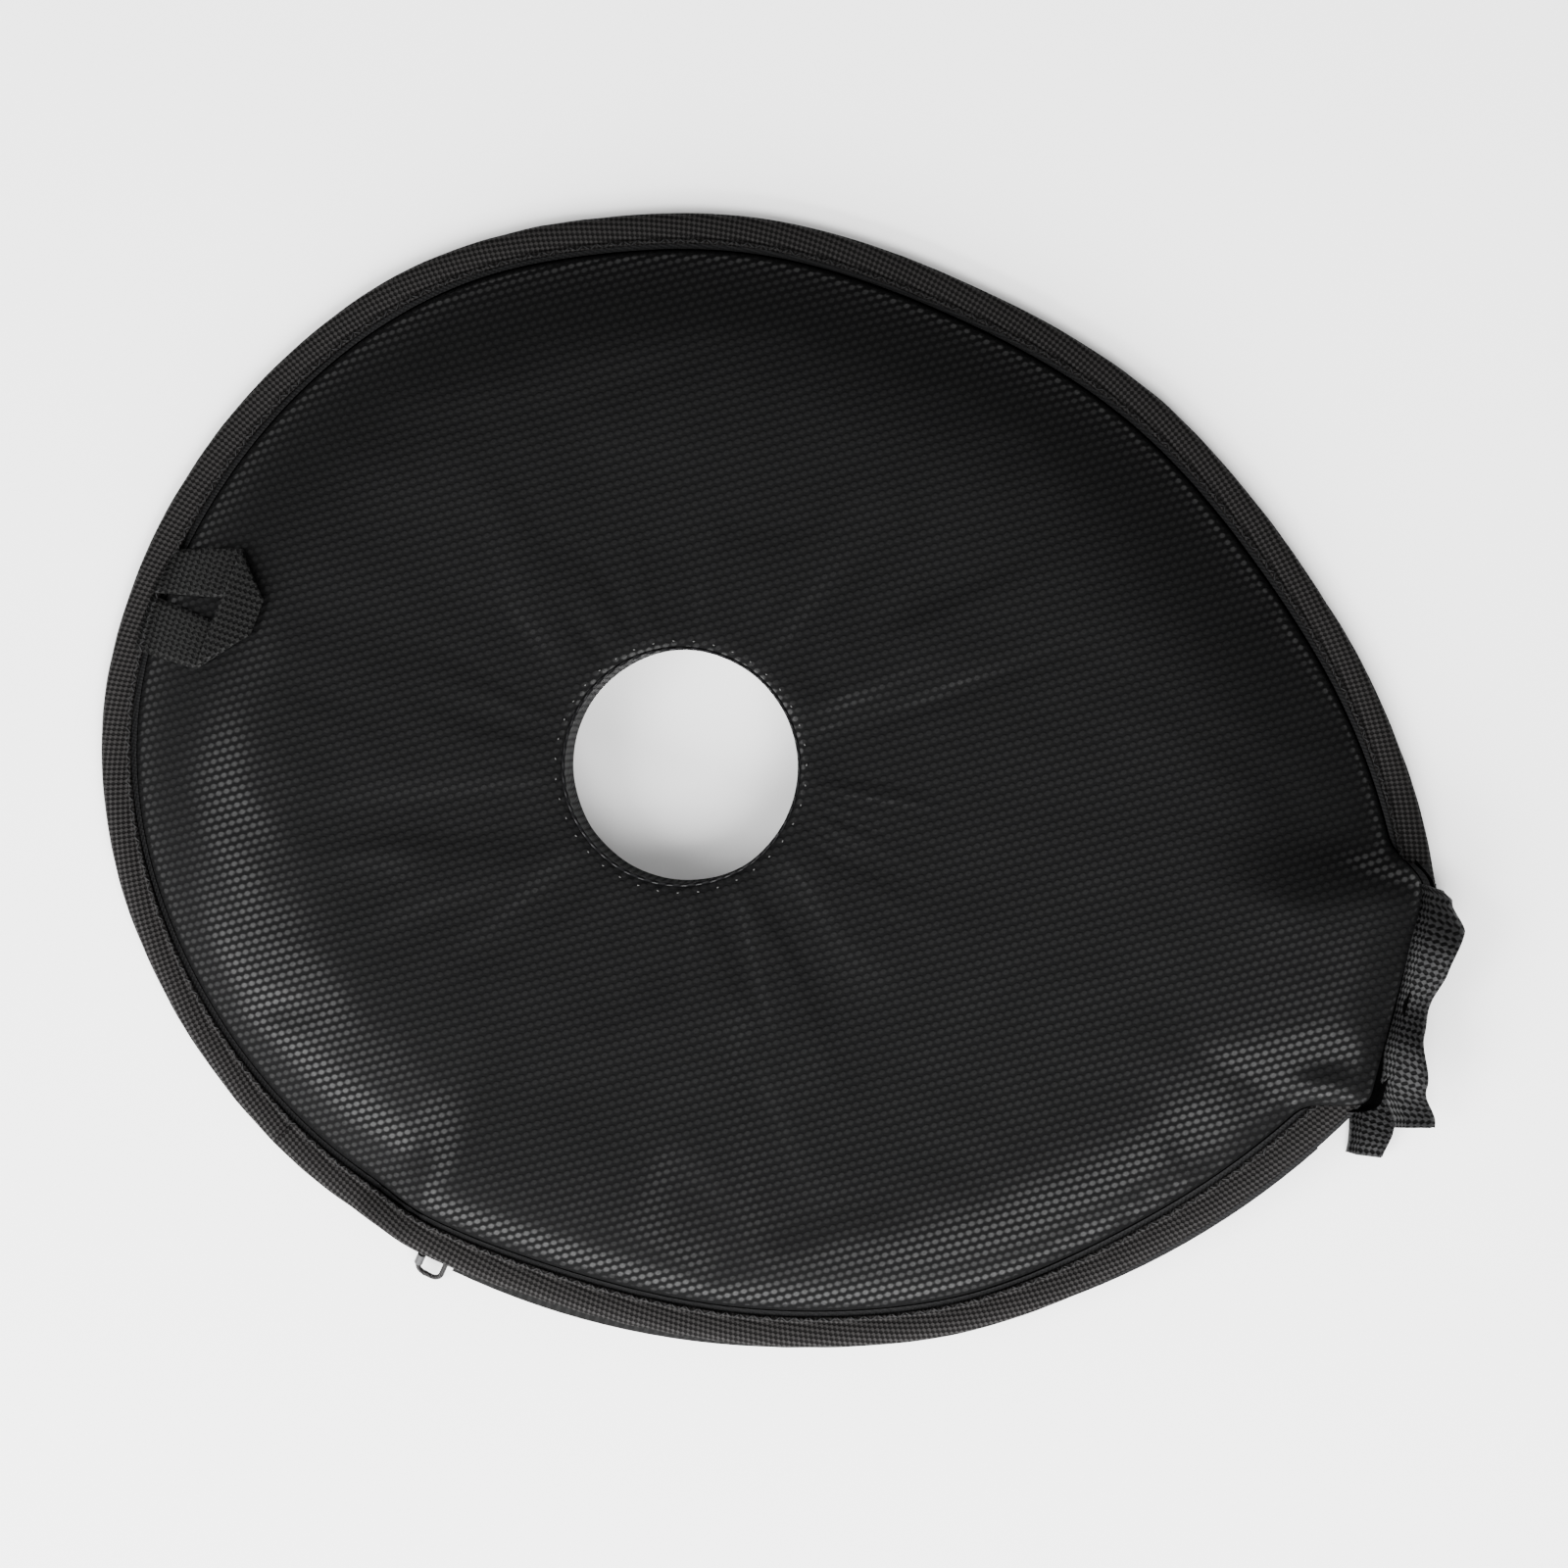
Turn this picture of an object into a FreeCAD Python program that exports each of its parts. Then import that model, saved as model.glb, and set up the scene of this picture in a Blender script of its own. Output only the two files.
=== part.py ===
import FreeCAD, Part
import Sketcher
import math
import os

# A flat, padded, soft zip case with a teardrop outline and a round hole through its middle.
#
# Frame: origin at the centre of the hole, on the surface that the back panel rests on.
# +X runs to the blunt open mouth, +Z comes out of the front panel, the hanging loop is at -X
# and the zip runs along the -Y side.  Lengths are in millimetres and angles in degrees.

doc = FreeCAD.newDocument("zip_case")
sheet = doc.addObject("Spreadsheet::Sheet", "Sizes")

SIZES = {
    # outline: a round end, two flatter sides tangent to it, and a blunt mouth
    "end_radius": 157.0,
    "end_centre": -7.0,
    "side_radius": 225.0,
    "join_angle": 104.0,
    "mouth_x": 212.0,
    # through hole
    "hole_radius": 32.5,
    "sleeve_wall": 1.2,
    "layer_gap": 0.05,
    # cloth, foam and tape
    "cover_thick": 1.0,
    "foam_thick": 3.0,
    "lining_thick": 0.6,
    "tape_thick": 1.0,
    "zip_tape_thick": 0.6,
    "flange_inset": 0.8,
    "tray_inset": 14.8,
    "binding_width": 7.2,
    # front panel
    "crown_height": 26.0,
    "crown_inset": 70.0,
    "open_rim_height": 15.2,
    # fold line of the front flap
    "fold_distance": 97.7,
    "fold_turn": 35.7,
    "fold_gap": 0.4,
    # zip
    "zip_inset": 9.0,
    "zip_start": -101.3,
    "zip_end": -30.7,
    "rim_end": -29.0,
    "coil_radius": 0.9,
    "coil_gap": 2.4,
    "stop_sweep": 0.4,
    "slider_parked": -99.2,
    "slider_sweep": 2.6,
    "slider_width": 8.0,
    "slider_plate": 1.4,
    "slider_room": 0.5,
    # pull: a wire loop through the eye of the slider
    "pull_wire": 0.6,
    "pull_reach": 12.0,
    "pull_width": 7.4,
    "pull_corner": 2.5,
    "pull_droop": 33.0,
    "crimp_radius": 1.25,
    "crimp_length": 4.0,
    # webbing that binds the two mouth rims
    "mouth_tape": 1.2,
    "mouth_inner": 207.0,
    "mouth_outer": 219.6,
    "mouth_top_y": 26.5,
    "front_end_y": -39.5,
    "back_end_y": -50.0,
    # hanging loop
    "loop_thick": 2.2,
    "loop_clearance": 0.6,
    "loop_pivot_x": -157.4,
    "loop_pivot_z": 6.6,
    "loop_tip_x": -129.0,
    "loop_side": 60.0,
    "loop_root_low": -14.2,
    "loop_root_high": 18.5,
    "loop_low_fold_x": -141.8,
    "loop_low_fold_y": -13.6,
    "loop_tip_low": -0.2,
    "loop_tip_high": 10.0,
    "loop_high_fold_x": -140.3,
    "loop_high_fold_y": 22.9,
    "loop_eye_root_x": -155.5,
    "loop_eye_root_y": 0.9,
    "loop_eye_x": -142.8,
    "loop_eye_low": -0.4,
    "loop_eye_high": 8.2,
}

for row, (alias, value) in enumerate(SIZES.items(), start=1):
    sheet.set(f"A{row}", alias)
    sheet.set(f"B{row}", str(value))
    sheet.setAlias(f"B{row}", alias)
doc.recompute()


def size(text):
    """An expression written with the sheet's aliases, each one prefixed by the sheet's name."""
    done = ""
    word = ""
    for letter in text + " ":
        if letter.isalnum() or letter == "_":
            word += letter
            continue
        done += ("Sizes." + word if word in SIZES else word) + letter
        word = ""
    return done.strip()


def number(text):
    """The value of such an expression."""
    result = sheet.evalExpression(size(text))
    return float(getattr(result, "Value", result))


# Centres of the two side arcs, which are tangent to the round end.
SIDE_X = "(end_centre - (side_radius - end_radius) * cos(join_angle))"
SIDE_Y = "((side_radius - end_radius) * sin(join_angle))"

# Heights of the cloth layers where they are sewn together at the rim, from the floor up.
BACK_COVER = "tape_thick"
BACK_LINING = "(tape_thick + cover_thick)"
BACK_TOP = f"({BACK_LINING} + lining_thick)"
CLOSED_COVER = f"({BACK_TOP} + lining_thick)"
CLOSED_TOP = f"({CLOSED_COVER} + cover_thick)"
OPEN_LINING = "open_rim_height"
OPEN_COVER = f"({OPEN_LINING} + lining_thick)"
OPEN_TOP = f"({OPEN_COVER} + cover_thick)"

# The zip stands between the two open rims.
ZIP_RADIUS = "(side_radius - zip_inset)"
ZIP_BOTTOM = f"({BACK_TOP} + zip_tape_thick)"
ZIP_TOP = f"({OPEN_LINING} - zip_tape_thick)"
ZIP_MIDDLE = f"(({ZIP_BOTTOM} + {ZIP_TOP}) / 2)"
COIL_OFFSET = "(coil_gap / 2 + coil_radius)"
SLEEVE_OUTER = "(hole_radius + sleeve_wall)"
PANEL_HOLE = f"({SLEEVE_OUTER} + layer_gap)"

# A panel swells from its rim to its crown along this many straight steps.
SWELL_STEPS = (0.0, 0.04, 0.1, 0.2, 0.36, 0.6, 1.0)
CLOSED_SWELL = 3
OPEN_SWELL = 6

UP = FreeCAD.Vector(0, 0, 1)
subparts = []


def new_body(label):
    body = doc.addObject("PartDesign::Body", label)
    body.Label = label
    subparts.append(body)
    return body


def place(body, x="0", y="0", z="0", turn="0"):
    """Stand a body at a point and turn it about its own vertical."""
    body.Placement = FreeCAD.Placement(FreeCAD.Vector(), FreeCAD.Rotation(UP, 1))
    for axis, text in zip("xyz", (x, y, z)):
        body.setExpression(f"Placement.Base.{axis}", size(text))
    body.setExpression("Placement.Rotation.Angle", size(turn))


def new_sketch(body, role, height="0"):
    """A sketch on one of the body's own origin planes, lifted off it by a height."""
    sketch = body.newObject("Sketcher::SketchObject", "Sketch")
    plane = [feature for feature in body.Origin.OriginFeatures if feature.Role == role][0]
    sketch.AttachmentSupport = [(plane, "")]
    sketch.MapMode = "FlatFace"
    sketch.setExpression("AttachmentOffset.Base.z", size(height))
    return sketch


def bind(sketch, kind, references, text):
    """A dimension of the sketch that follows an expression."""
    index = sketch.addConstraint(Sketcher.Constraint(kind, *references, number(text)))
    sketch.setExpression(f"Constraints[{index}]", size(text))


def pin(sketch, geometry, point, x, y):
    """Fix a point of the sketch at expressions for its two coordinates."""
    bind(sketch, "DistanceX", (-1, 1, geometry, point), x)
    bind(sketch, "DistanceY", (-1, 1, geometry, point), y)


def polygon(sketch, corners):
    """A closed outline of straight edges, whose corners are pairs of expressions."""
    points = [FreeCAD.Vector(number(x), number(y), 0) for x, y in corners]
    count = len(points)
    edges = []
    for index in range(count):
        edges.append(sketch.addGeometry(Part.LineSegment(points[index], points[(index + 1) % count])))
    for index, edge in enumerate(edges):
        sketch.addConstraint(Sketcher.Constraint("Coincident", edge, 2, edges[(index + 1) % count], 1))
        pin(sketch, edge, 1, *corners[index])


def box_corners(low_x, high_x, low_y, high_y):
    return [(low_x, low_y), (high_x, low_y), (high_x, high_y), (low_x, high_y)]


def circle(sketch, radius, x="0", y="0"):
    centre = FreeCAD.Vector(number(x), number(y), 0)
    index = sketch.addGeometry(Part.Circle(centre, UP, number(radius)))
    bind(sketch, "Radius", (index,), radius)
    pin(sketch, index, 3, x, y)


def teardrop(sketch, inset):
    """The case's outline, moved inwards: a round end, two side arcs and the blunt mouth edge."""
    end_radius = number(f"end_radius - ({inset})")
    side_radius = number(f"side_radius - ({inset})")
    mouth = number(f"mouth_x - ({inset})")
    end_x = number("end_centre")
    side_x = number(SIDE_X)
    side_y = number(SIDE_Y)
    join = math.radians(number("join_angle"))
    corner = math.acos((mouth - side_x) / side_radius)
    corner_y = side_radius * math.sin(corner) - side_y
    end_circle = Part.Circle(FreeCAD.Vector(end_x, 0, 0), UP, end_radius)
    end = Part.ArcOfCircle(end_circle, join, 2 * math.pi - join)
    lower = Part.ArcOfCircle(Part.Circle(FreeCAD.Vector(side_x, side_y, 0), UP, side_radius), -join, -corner)
    upper = Part.ArcOfCircle(Part.Circle(FreeCAD.Vector(side_x, -side_y, 0), UP, side_radius), corner, join)
    sketch.addGeometry(end)
    sketch.addGeometry(lower)
    low_corner = FreeCAD.Vector(mouth, -corner_y, 0)
    high_corner = FreeCAD.Vector(mouth, corner_y, 0)
    sketch.addGeometry(Part.LineSegment(low_corner, high_corner))
    sketch.addGeometry(upper)
    pin(sketch, 0, 3, "end_centre", "0")
    bind(sketch, "Radius", (0,), f"end_radius - ({inset})")
    sketch.addConstraint(Sketcher.Constraint("Tangent", 0, 2, 1, 1))
    bind(sketch, "Radius", (1,), f"side_radius - ({inset})")
    sketch.addConstraint(Sketcher.Constraint("Coincident", 1, 2, 2, 1))
    sketch.addConstraint(Sketcher.Constraint("Vertical", 2))
    sketch.addConstraint(Sketcher.Constraint("Coincident", 2, 2, 3, 1))
    bind(sketch, "Radius", (3,), f"side_radius - ({inset})")
    sketch.addConstraint(Sketcher.Constraint("Tangent", 3, 2, 0, 1))
    bind(sketch, "DistanceX", (0, 2, 0, 3), f"-(end_radius - ({inset})) * cos(join_angle)")
    bind(sketch, "DistanceX", (0, 1, 0, 3), f"-(end_radius - ({inset})) * cos(join_angle)")
    bind(sketch, "DistanceX", (-1, 1, 2, 1), f"mouth_x - ({inset})")


def pad(body, sketch, length, midplane=False):
    feature = body.newObject("PartDesign::Pad", "Pad")
    feature.Profile = sketch
    feature.setExpression("Length", size(length))
    feature.Midplane = midplane
    body.Tip = feature
    return feature


def pocket(body, sketch, length=None):
    """Cut along +Z of the sketch, by a length or through everything both ways."""
    doc.recompute()
    before = body.Shape.Volume
    feature = body.newObject("PartDesign::Pocket", "Pocket")
    feature.Profile = sketch
    if length is None:
        feature.Type = "ThroughAll"
        feature.Midplane = True
    else:
        feature.Reversed = True
        feature.setExpression("Length", size(length))
    body.Tip = feature
    doc.recompute()
    if not body.Shape.Volume < before:
        raise ValueError(f"{body.Label}: a pocket removed nothing")
    return feature


def outline_slab(body, inset, low, high):
    sketch = new_sketch(body, "XY_Plane", low)
    teardrop(sketch, inset)
    pad(body, sketch, f"({high}) - ({low})")


def outline_recess(body, inset, low, high):
    sketch = new_sketch(body, "XY_Plane", low)
    teardrop(sketch, inset)
    pocket(body, sketch, f"({high}) - ({low})")


def swell(body, kind, rim_inset, rim_height, crown, fullness, foot=None):
    """Loft a padded panel's surface from its rim inset up to the crown."""
    levels = []
    if foot is not None:
        levels.append((rim_inset, foot))
    for step in SWELL_STEPS:
        rise = 1 - (1 - step) ** fullness
        inset = f"({rim_inset}) + (crown_inset - ({rim_inset})) * {step}"
        height = f"({rim_height}) + (({crown}) - ({rim_height})) * {rise:.6f}"
        levels.append((inset, height))
    sketches = []
    for inset, height in levels:
        sketch = new_sketch(body, "XY_Plane", height)
        teardrop(sketch, inset)
        sketches.append(sketch)
    loft = body.newObject(f"PartDesign::{kind}Loft", "Loft")
    loft.Profile = sketches[0]
    loft.Sections = sketches[1:]
    loft.Ruled = True
    body.Tip = loft
    doc.recompute()


def cut_hole(body, radius):
    sketch = new_sketch(body, "XY_Plane")
    circle(sketch, radius)
    pocket(body, sketch)


def cut_at_fold(body, keep_flap, x="0", y="0", turn="0"):
    """Cut a piece off at the fold line; x, y and turn are where the body itself stands."""
    far = "(2 * mouth_x)"
    side = -1 if keep_flap else 1
    offset = f"({y} * cos(fold_turn) - {x} * sin(fold_turn))"
    edge = f"(-fold_distance + {side} * fold_gap / 2 - {offset})"
    other = f"({-side} * {far})"
    sketch = new_sketch(body, "XY_Plane")
    sketch.AttachmentOffset = FreeCAD.Placement(FreeCAD.Vector(), FreeCAD.Rotation(UP, 1))
    sketch.setExpression("AttachmentOffset.Rotation.Angle", size(f"fold_turn - ({turn})"))
    polygon(sketch, box_corners(f"(-{far})", far, edge, other))
    pocket(body, sketch)


def about_zip_side(label, start, sweep, profile):
    """A strip that follows the zip side: a section turned about that side's arc centre."""
    body = new_body(label)
    place(body, SIDE_X, SIDE_Y, "0", start)
    sketch = new_sketch(body, "XZ_Plane")
    profile(sketch)
    turn = body.newObject("PartDesign::Revolution", "Revolution")
    turn.Profile = sketch
    turn.ReferenceAxis = (sketch, ["V_Axis"])
    turn.setExpression("Angle", size(sweep))
    body.Tip = turn
    doc.recompute()
    return body


# ---------------------------------------------------------------- back panel

def back_panel():
    """Flat panel of cover cloth, foam and lining.  Its rim is lifted by the tape folded under it."""
    foam = "(tray_inset + cover_thick)"
    cover_top = f"({BACK_COVER} + cover_thick)"
    foam_top = "(cover_thick + foam_thick)"

    cover = new_body("back_cover")
    outline_slab(cover, "flange_inset", BACK_COVER, cover_top)
    outline_slab(cover, "tray_inset", "0", cover_top)
    outline_recess(cover, foam, "cover_thick", cover_top)
    cut_hole(cover, PANEL_HOLE)

    padding = new_body("back_padding")
    outline_slab(padding, f"{foam} + layer_gap", "cover_thick", foam_top)
    cut_hole(padding, PANEL_HOLE)

    lining = new_body("back_lining")
    outline_slab(lining, "flange_inset", BACK_LINING, BACK_TOP)
    outline_slab(lining, f"{foam} - lining_thick", BACK_LINING, f"{foam_top} + lining_thick")
    outline_recess(lining, foam, BACK_LINING, foam_top)
    cut_hole(lining, PANEL_HOLE)


# ---------------------------------------------------------------- front panel

def front_panel(suffix, lining_low, keep_flap, fullness):
    """One side of the domed front panel: the fixed half, or the flap beside the open zip."""
    cover_low = f"({lining_low} + lining_thick)"
    cover_top = f"({cover_low} + cover_thick)"
    below = f"({lining_low} - 4)"
    cover_room = "(binding_width + cover_thick)"
    foam_room = f"({cover_room} + foam_thick)"
    foam_crown = "(crown_height - cover_thick)"
    lining_crown = f"({foam_crown} - foam_thick)"

    cover = new_body(f"front_cover_{suffix}")
    outline_slab(cover, "flange_inset", cover_low, cover_top)
    swell(cover, "Additive", "binding_width", cover_top, "crown_height", fullness)
    swell(cover, "Subtractive", cover_room, cover_low, foam_crown, fullness, foot=below)

    padding = new_body(f"front_padding_{suffix}")
    swell(padding, "Additive", f"{cover_room} + layer_gap", cover_low, f"{foam_crown} - layer_gap", fullness)
    swell(padding, "Subtractive", foam_room, cover_low, lining_crown, fullness, foot=below)

    lining = new_body(f"front_lining_{suffix}")
    outline_slab(lining, "flange_inset", lining_low, cover_low)
    swell(lining, "Additive", f"{foam_room} + layer_gap", cover_low, f"{lining_crown} - layer_gap", fullness)
    swell(lining, "Subtractive", f"{foam_room} + lining_thick", lining_low,
          f"{lining_crown} - lining_thick", fullness, foot=below)

    for piece in (cover, padding, lining):
        cut_at_fold(piece, keep_flap)
        if not keep_flap:
            cut_hole(piece, PANEL_HOLE)


def hole_sleeve():
    """Cloth tube sewn between the two panels round the hole."""
    sleeve = new_body("hole_sleeve")
    sketch = new_sketch(sleeve, "XY_Plane")
    circle(sketch, SLEEVE_OUTER)
    circle(sketch, "hole_radius")
    pad(sleeve, sketch, "crown_height")


# ---------------------------------------------------------------- binding tape

def folded_tape(sketch, low, slot_low, slot_high, high):
    """Section of the tape folded over a sewn rim: a U that opens towards the panel."""
    inner = "(side_radius - binding_width)"
    slot = "(side_radius - flange_inset)"
    polygon(sketch, [(inner, low), ("side_radius", low), ("side_radius", high), (inner, high),
                     (inner, slot_high), (slot, slot_high), (slot, slot_low), (inner, slot_low)])


def edge_binding():
    """Tape folded over the closed seam, from the zip round the far end to the mouth."""
    body = new_body("edge_binding")
    zip_overlap = 4
    mouth_end = 27
    join = math.radians(number("join_angle"))
    first = math.radians(zip_overlap - number("join_angle"))
    last = math.radians(mouth_end)
    side_x = number(SIDE_X)
    side_y = number(SIDE_Y)
    near = Part.Circle(FreeCAD.Vector(side_x, side_y, 0), UP, number("side_radius"))
    end = Part.Circle(FreeCAD.Vector(number("end_centre"), 0, 0), UP, number("end_radius"))
    far = Part.Circle(FreeCAD.Vector(side_x, -side_y, 0), UP, number("side_radius"))

    path = new_sketch(body, "XY_Plane")
    path.addGeometry(Part.ArcOfCircle(near, -join, first))
    path.addGeometry(Part.ArcOfCircle(end, join, 2 * math.pi - join))
    path.addGeometry(Part.ArcOfCircle(far, last, join))
    bind(path, "Radius", (0,), "side_radius")
    bind(path, "Radius", (1,), "end_radius")
    bind(path, "Radius", (2,), "side_radius")
    pin(path, 1, 3, "end_centre", "0")
    path.addConstraint(Sketcher.Constraint("Tangent", 1, 2, 0, 1))
    path.addConstraint(Sketcher.Constraint("Tangent", 1, 1, 2, 2))
    bind(path, "DistanceX", (1, 2, 1, 3), "-end_radius * cos(join_angle)")
    bind(path, "DistanceX", (1, 1, 1, 3), "-end_radius * cos(join_angle)")
    bind(path, "DistanceX", (-1, 1, 2, 1), f"{SIDE_X} + side_radius * cos({mouth_end})")
    bind(path, "DistanceX", (-1, 1, 0, 2), f"{SIDE_X} + side_radius * cos(join_angle - {zip_overlap})")

    # The section stands across the path's mouth end, so it is turned about the far side's centre.
    section = new_sketch(body, "XZ_Plane")
    about_y = FreeCAD.Rotation(FreeCAD.Vector(0, 1, 0), 1)
    section.AttachmentOffset = FreeCAD.Placement(FreeCAD.Vector(), about_y)
    section.setExpression("AttachmentOffset.Base.x", size(SIDE_X))
    section.setExpression("AttachmentOffset.Base.z", size(SIDE_Y))
    section.setExpression("AttachmentOffset.Rotation.Angle", size(str(mouth_end)))
    folded_tape(section, "0", BACK_COVER, CLOSED_TOP, f"({CLOSED_TOP} + tape_thick)")

    pipe = body.newObject("PartDesign::AdditivePipe", "Pipe")
    pipe.Profile = section
    pipe.Spine = path
    body.Tip = pipe
    cut_at_fold(body, keep_flap=False)


def zip_binding(label, rim_low, rim_high):
    """Tape folded over one rim beside the zip, from the fold line to the mouth."""
    start = "(-join_angle - 1)"
    low = f"({rim_low} - tape_thick)"
    high = f"({rim_high} + tape_thick)"
    body = about_zip_side(label, start, f"rim_end - {start}",
                          lambda sketch: folded_tape(sketch, low, rim_low, rim_high, high))
    cut_at_fold(body, True, SIDE_X, SIDE_Y, start)


# ---------------------------------------------------------------- zip

COIL_TO_FRONT = "(slider_parked + slider_sweep / 2 + stop_sweep)"


def zip_half(suffix, rim, side, start):
    """Tape and coil on one rim.  The coil stands away from the rim towards the zip's middle."""
    coil_height = f"({ZIP_MIDDLE} + {side} * {COIL_OFFSET})"
    tape_end = f"({ZIP_MIDDLE} + {side} * ({COIL_OFFSET} + coil_radius))"
    half = "zip_tape_thick / 2"
    inner = f"({ZIP_RADIUS} - {half})"
    outer = f"({ZIP_RADIUS} + {half})"
    sewn = "(side_radius - flange_inset)"
    leg = f"({rim} - {side} * zip_tape_thick)"
    coil_start = f"({start} + stop_sweep)"
    coil_sweep = f"zip_end - 2 * stop_sweep - {start}"
    about_zip_side(f"zip_tape_{suffix}", start, f"zip_end - {start}",
                   lambda sketch: polygon(sketch, [(inner, rim), (sewn, rim), (sewn, leg), (outer, leg),
                                                   (outer, tape_end), (inner, tape_end)]))
    about_zip_side(f"zip_coil_{suffix}", coil_start, coil_sweep,
                   lambda sketch: circle(sketch, "coil_radius", ZIP_RADIUS, coil_height))
    stop_inner = f"{ZIP_MIDDLE} + {side} * coil_gap / 2"
    stop_clamp(f"top_stop_{suffix}", "zip_end - stop_sweep", stop_inner, tape_end)


def stop_clamp(label, start, low, high):
    """Metal stop clamped on the end of a coil."""
    reach = "(coil_radius + zip_tape_thick / 3)"
    corners = box_corners(f"({ZIP_RADIUS} - {reach})", f"({ZIP_RADIUS} + {reach})", low, high)
    about_zip_side(label, start, "stop_sweep", lambda sketch: polygon(sketch, corners))


EYE_OFFSET = "(coil_radius + slider_room + slider_plate + 1.4)"


def slider():
    """Zip slider: two plates with turned-in lips, a wedge between them and an eye for the pull."""
    body = new_body("slider_body")
    place(body, SIDE_X, SIDE_Y, "0", "slider_parked")
    cheek = "(coil_radius + slider_room)"
    lip = 0.6
    wedge = "(coil_gap / 2 - 0.3)"
    edge = "(slider_width / 2)"

    def at(across, up):
        return (f"({ZIP_RADIUS} + {across})", f"({ZIP_MIDDLE} + {up})")

    half = [(f"({cheek} + slider_plate)", edge), (f"({cheek} - {lip})", edge),
            (f"({cheek} - {lip})", f"({edge} - {lip})"), (cheek, f"({edge} - {lip})"), (cheek, wedge)]
    corners = [at(f"-{x}", f"-{z}") for x, z in half]
    corners += [at(x, f"-{z}") for x, z in reversed(half)]
    corners += [at(x, z) for x, z in half]
    corners += [at(f"-{x}", z) for x, z in reversed(half)]
    sketch = new_sketch(body, "XZ_Plane")
    polygon(sketch, corners)
    turn = body.newObject("PartDesign::Revolution", "Revolution")
    turn.Profile = sketch
    turn.ReferenceAxis = (sketch, ["V_Axis"])
    turn.Midplane = True
    turn.setExpression("Angle", size("slider_sweep"))
    body.Tip = turn
    doc.recompute()

    eye_wall = 0.65
    eye_room = 0.25
    hole = f"(pull_wire + {eye_room})"
    outer = f"({hole} + {eye_wall})"
    eye = new_sketch(body, "XZ_Plane")
    lug_root = f"({cheek} + slider_plate - 0.3)"
    lug_tip = f"({EYE_OFFSET} + {outer})"
    polygon(eye, [at(lug_root, f"-{outer}"), at(lug_tip, f"-{outer}"),
                  at(lug_tip, outer), at(lug_root, outer)])
    circle(eye, hole, f"({ZIP_RADIUS} + {EYE_OFFSET})", ZIP_MIDDLE)
    pad(body, eye, "slider_plate", midplane=True)


def place_pull(body):
    radius = f"({ZIP_RADIUS} + {EYE_OFFSET})"
    place(body, f"{SIDE_X} + {radius} * cos(slider_parked)", f"{SIDE_Y} + {radius} * sin(slider_parked)",
          ZIP_MIDDLE, "slider_parked")


def pull():
    """Thin wire loop hung in the slider's eye, with a crimped sleeve that closes it."""
    wire = new_body("pull_loop")
    place_pull(wire)
    half = "(pull_width / 2)"
    corner = "pull_corner"
    path = new_sketch(wire, "XY_Plane")
    path.AttachmentOffset = FreeCAD.Placement(FreeCAD.Vector(), FreeCAD.Rotation(FreeCAD.Vector(0, 1, 0), 1))
    path.setExpression("AttachmentOffset.Rotation.Angle", size("pull_droop"))
    arcs = [
        (corner, f"({half} - {corner})", 90, ("0", f"({half} - {corner})"), (corner, half)),
        (f"(pull_reach - {corner})", f"({half} - {corner})", 0, (f"(pull_reach - {corner})", half),
         ("pull_reach", f"({half} - {corner})")),
        (f"(pull_reach - {corner})", f"({corner} - {half})", 270, ("pull_reach", f"({corner} - {half})"),
         (f"(pull_reach - {corner})", f"-{half}")),
        (corner, f"({corner} - {half})", 180, (corner, f"-{half}"), ("0", f"({corner} - {half})")),
    ]
    for x, y, start, first, last in arcs:
        centre = FreeCAD.Vector(number(x), number(y), 0)
        round_corner = Part.Circle(centre, UP, number(corner))
        arc = Part.ArcOfCircle(round_corner, math.radians(start), math.radians(start + 90))
        index = path.addGeometry(arc)
        bind(path, "Radius", (index,), corner)
        pin(path, index, 2, *first)
        pin(path, index, 1, *last)
    for index in range(3):
        first = path.getPoint(index, 1)
        last = path.getPoint(index + 1, 2)
        line = path.addGeometry(Part.LineSegment(first, last))
        path.addConstraint(Sketcher.Constraint("Coincident", line, 1, index, 1))
        path.addConstraint(Sketcher.Constraint("Coincident", line, 2, index + 1, 2))
    for index, point in ((3, 1), (0, 2)):
        line = path.addGeometry(Part.LineSegment(path.getPoint(index, point), FreeCAD.Vector()))
        path.addConstraint(Sketcher.Constraint("Coincident", line, 1, index, point))
        path.addConstraint(Sketcher.Constraint("Coincident", line, 2, -1, 1))
    section = new_sketch(wire, "XZ_Plane")
    circle(section, "pull_wire")
    pipe = wire.newObject("PartDesign::AdditivePipe", "Pipe")
    pipe.Profile = section
    pipe.Spine = path
    wire.Tip = pipe

    crimp = new_body("pull_crimp")
    place_pull(crimp)
    start = "(pull_reach - pull_corner - crimp_length + 0.5)"
    ring = new_sketch(crimp, "YZ_Plane")
    ring.AttachmentOffset = FreeCAD.Placement(FreeCAD.Vector(), FreeCAD.Rotation(FreeCAD.Vector(1, 0, 0), 1))
    ring.setExpression("AttachmentOffset.Rotation.Angle", size("pull_droop"))
    ring.setExpression("AttachmentOffset.Base.y", size(f"-{start} * sin(pull_droop)"))
    ring.setExpression("AttachmentOffset.Base.z", size(f"{start} * cos(pull_droop)"))
    circle(ring, "crimp_radius", f"-{half}", "0")
    circle(ring, "pull_wire + 0.02", f"-{half}", "0")
    pad(crimp, ring, "crimp_length - 0.5")


# ---------------------------------------------------------------- mouth rims

def mouth_webbing(label, section, end_y):
    """Webbing folded over one rim of the mouth.  Its cut end hangs past the lower corner."""
    body = new_body(label)
    sketch = new_sketch(body, "XZ_Plane", "-mouth_top_y")
    polygon(sketch, section)
    pad(body, sketch, f"mouth_top_y - ({end_y})")


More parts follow.
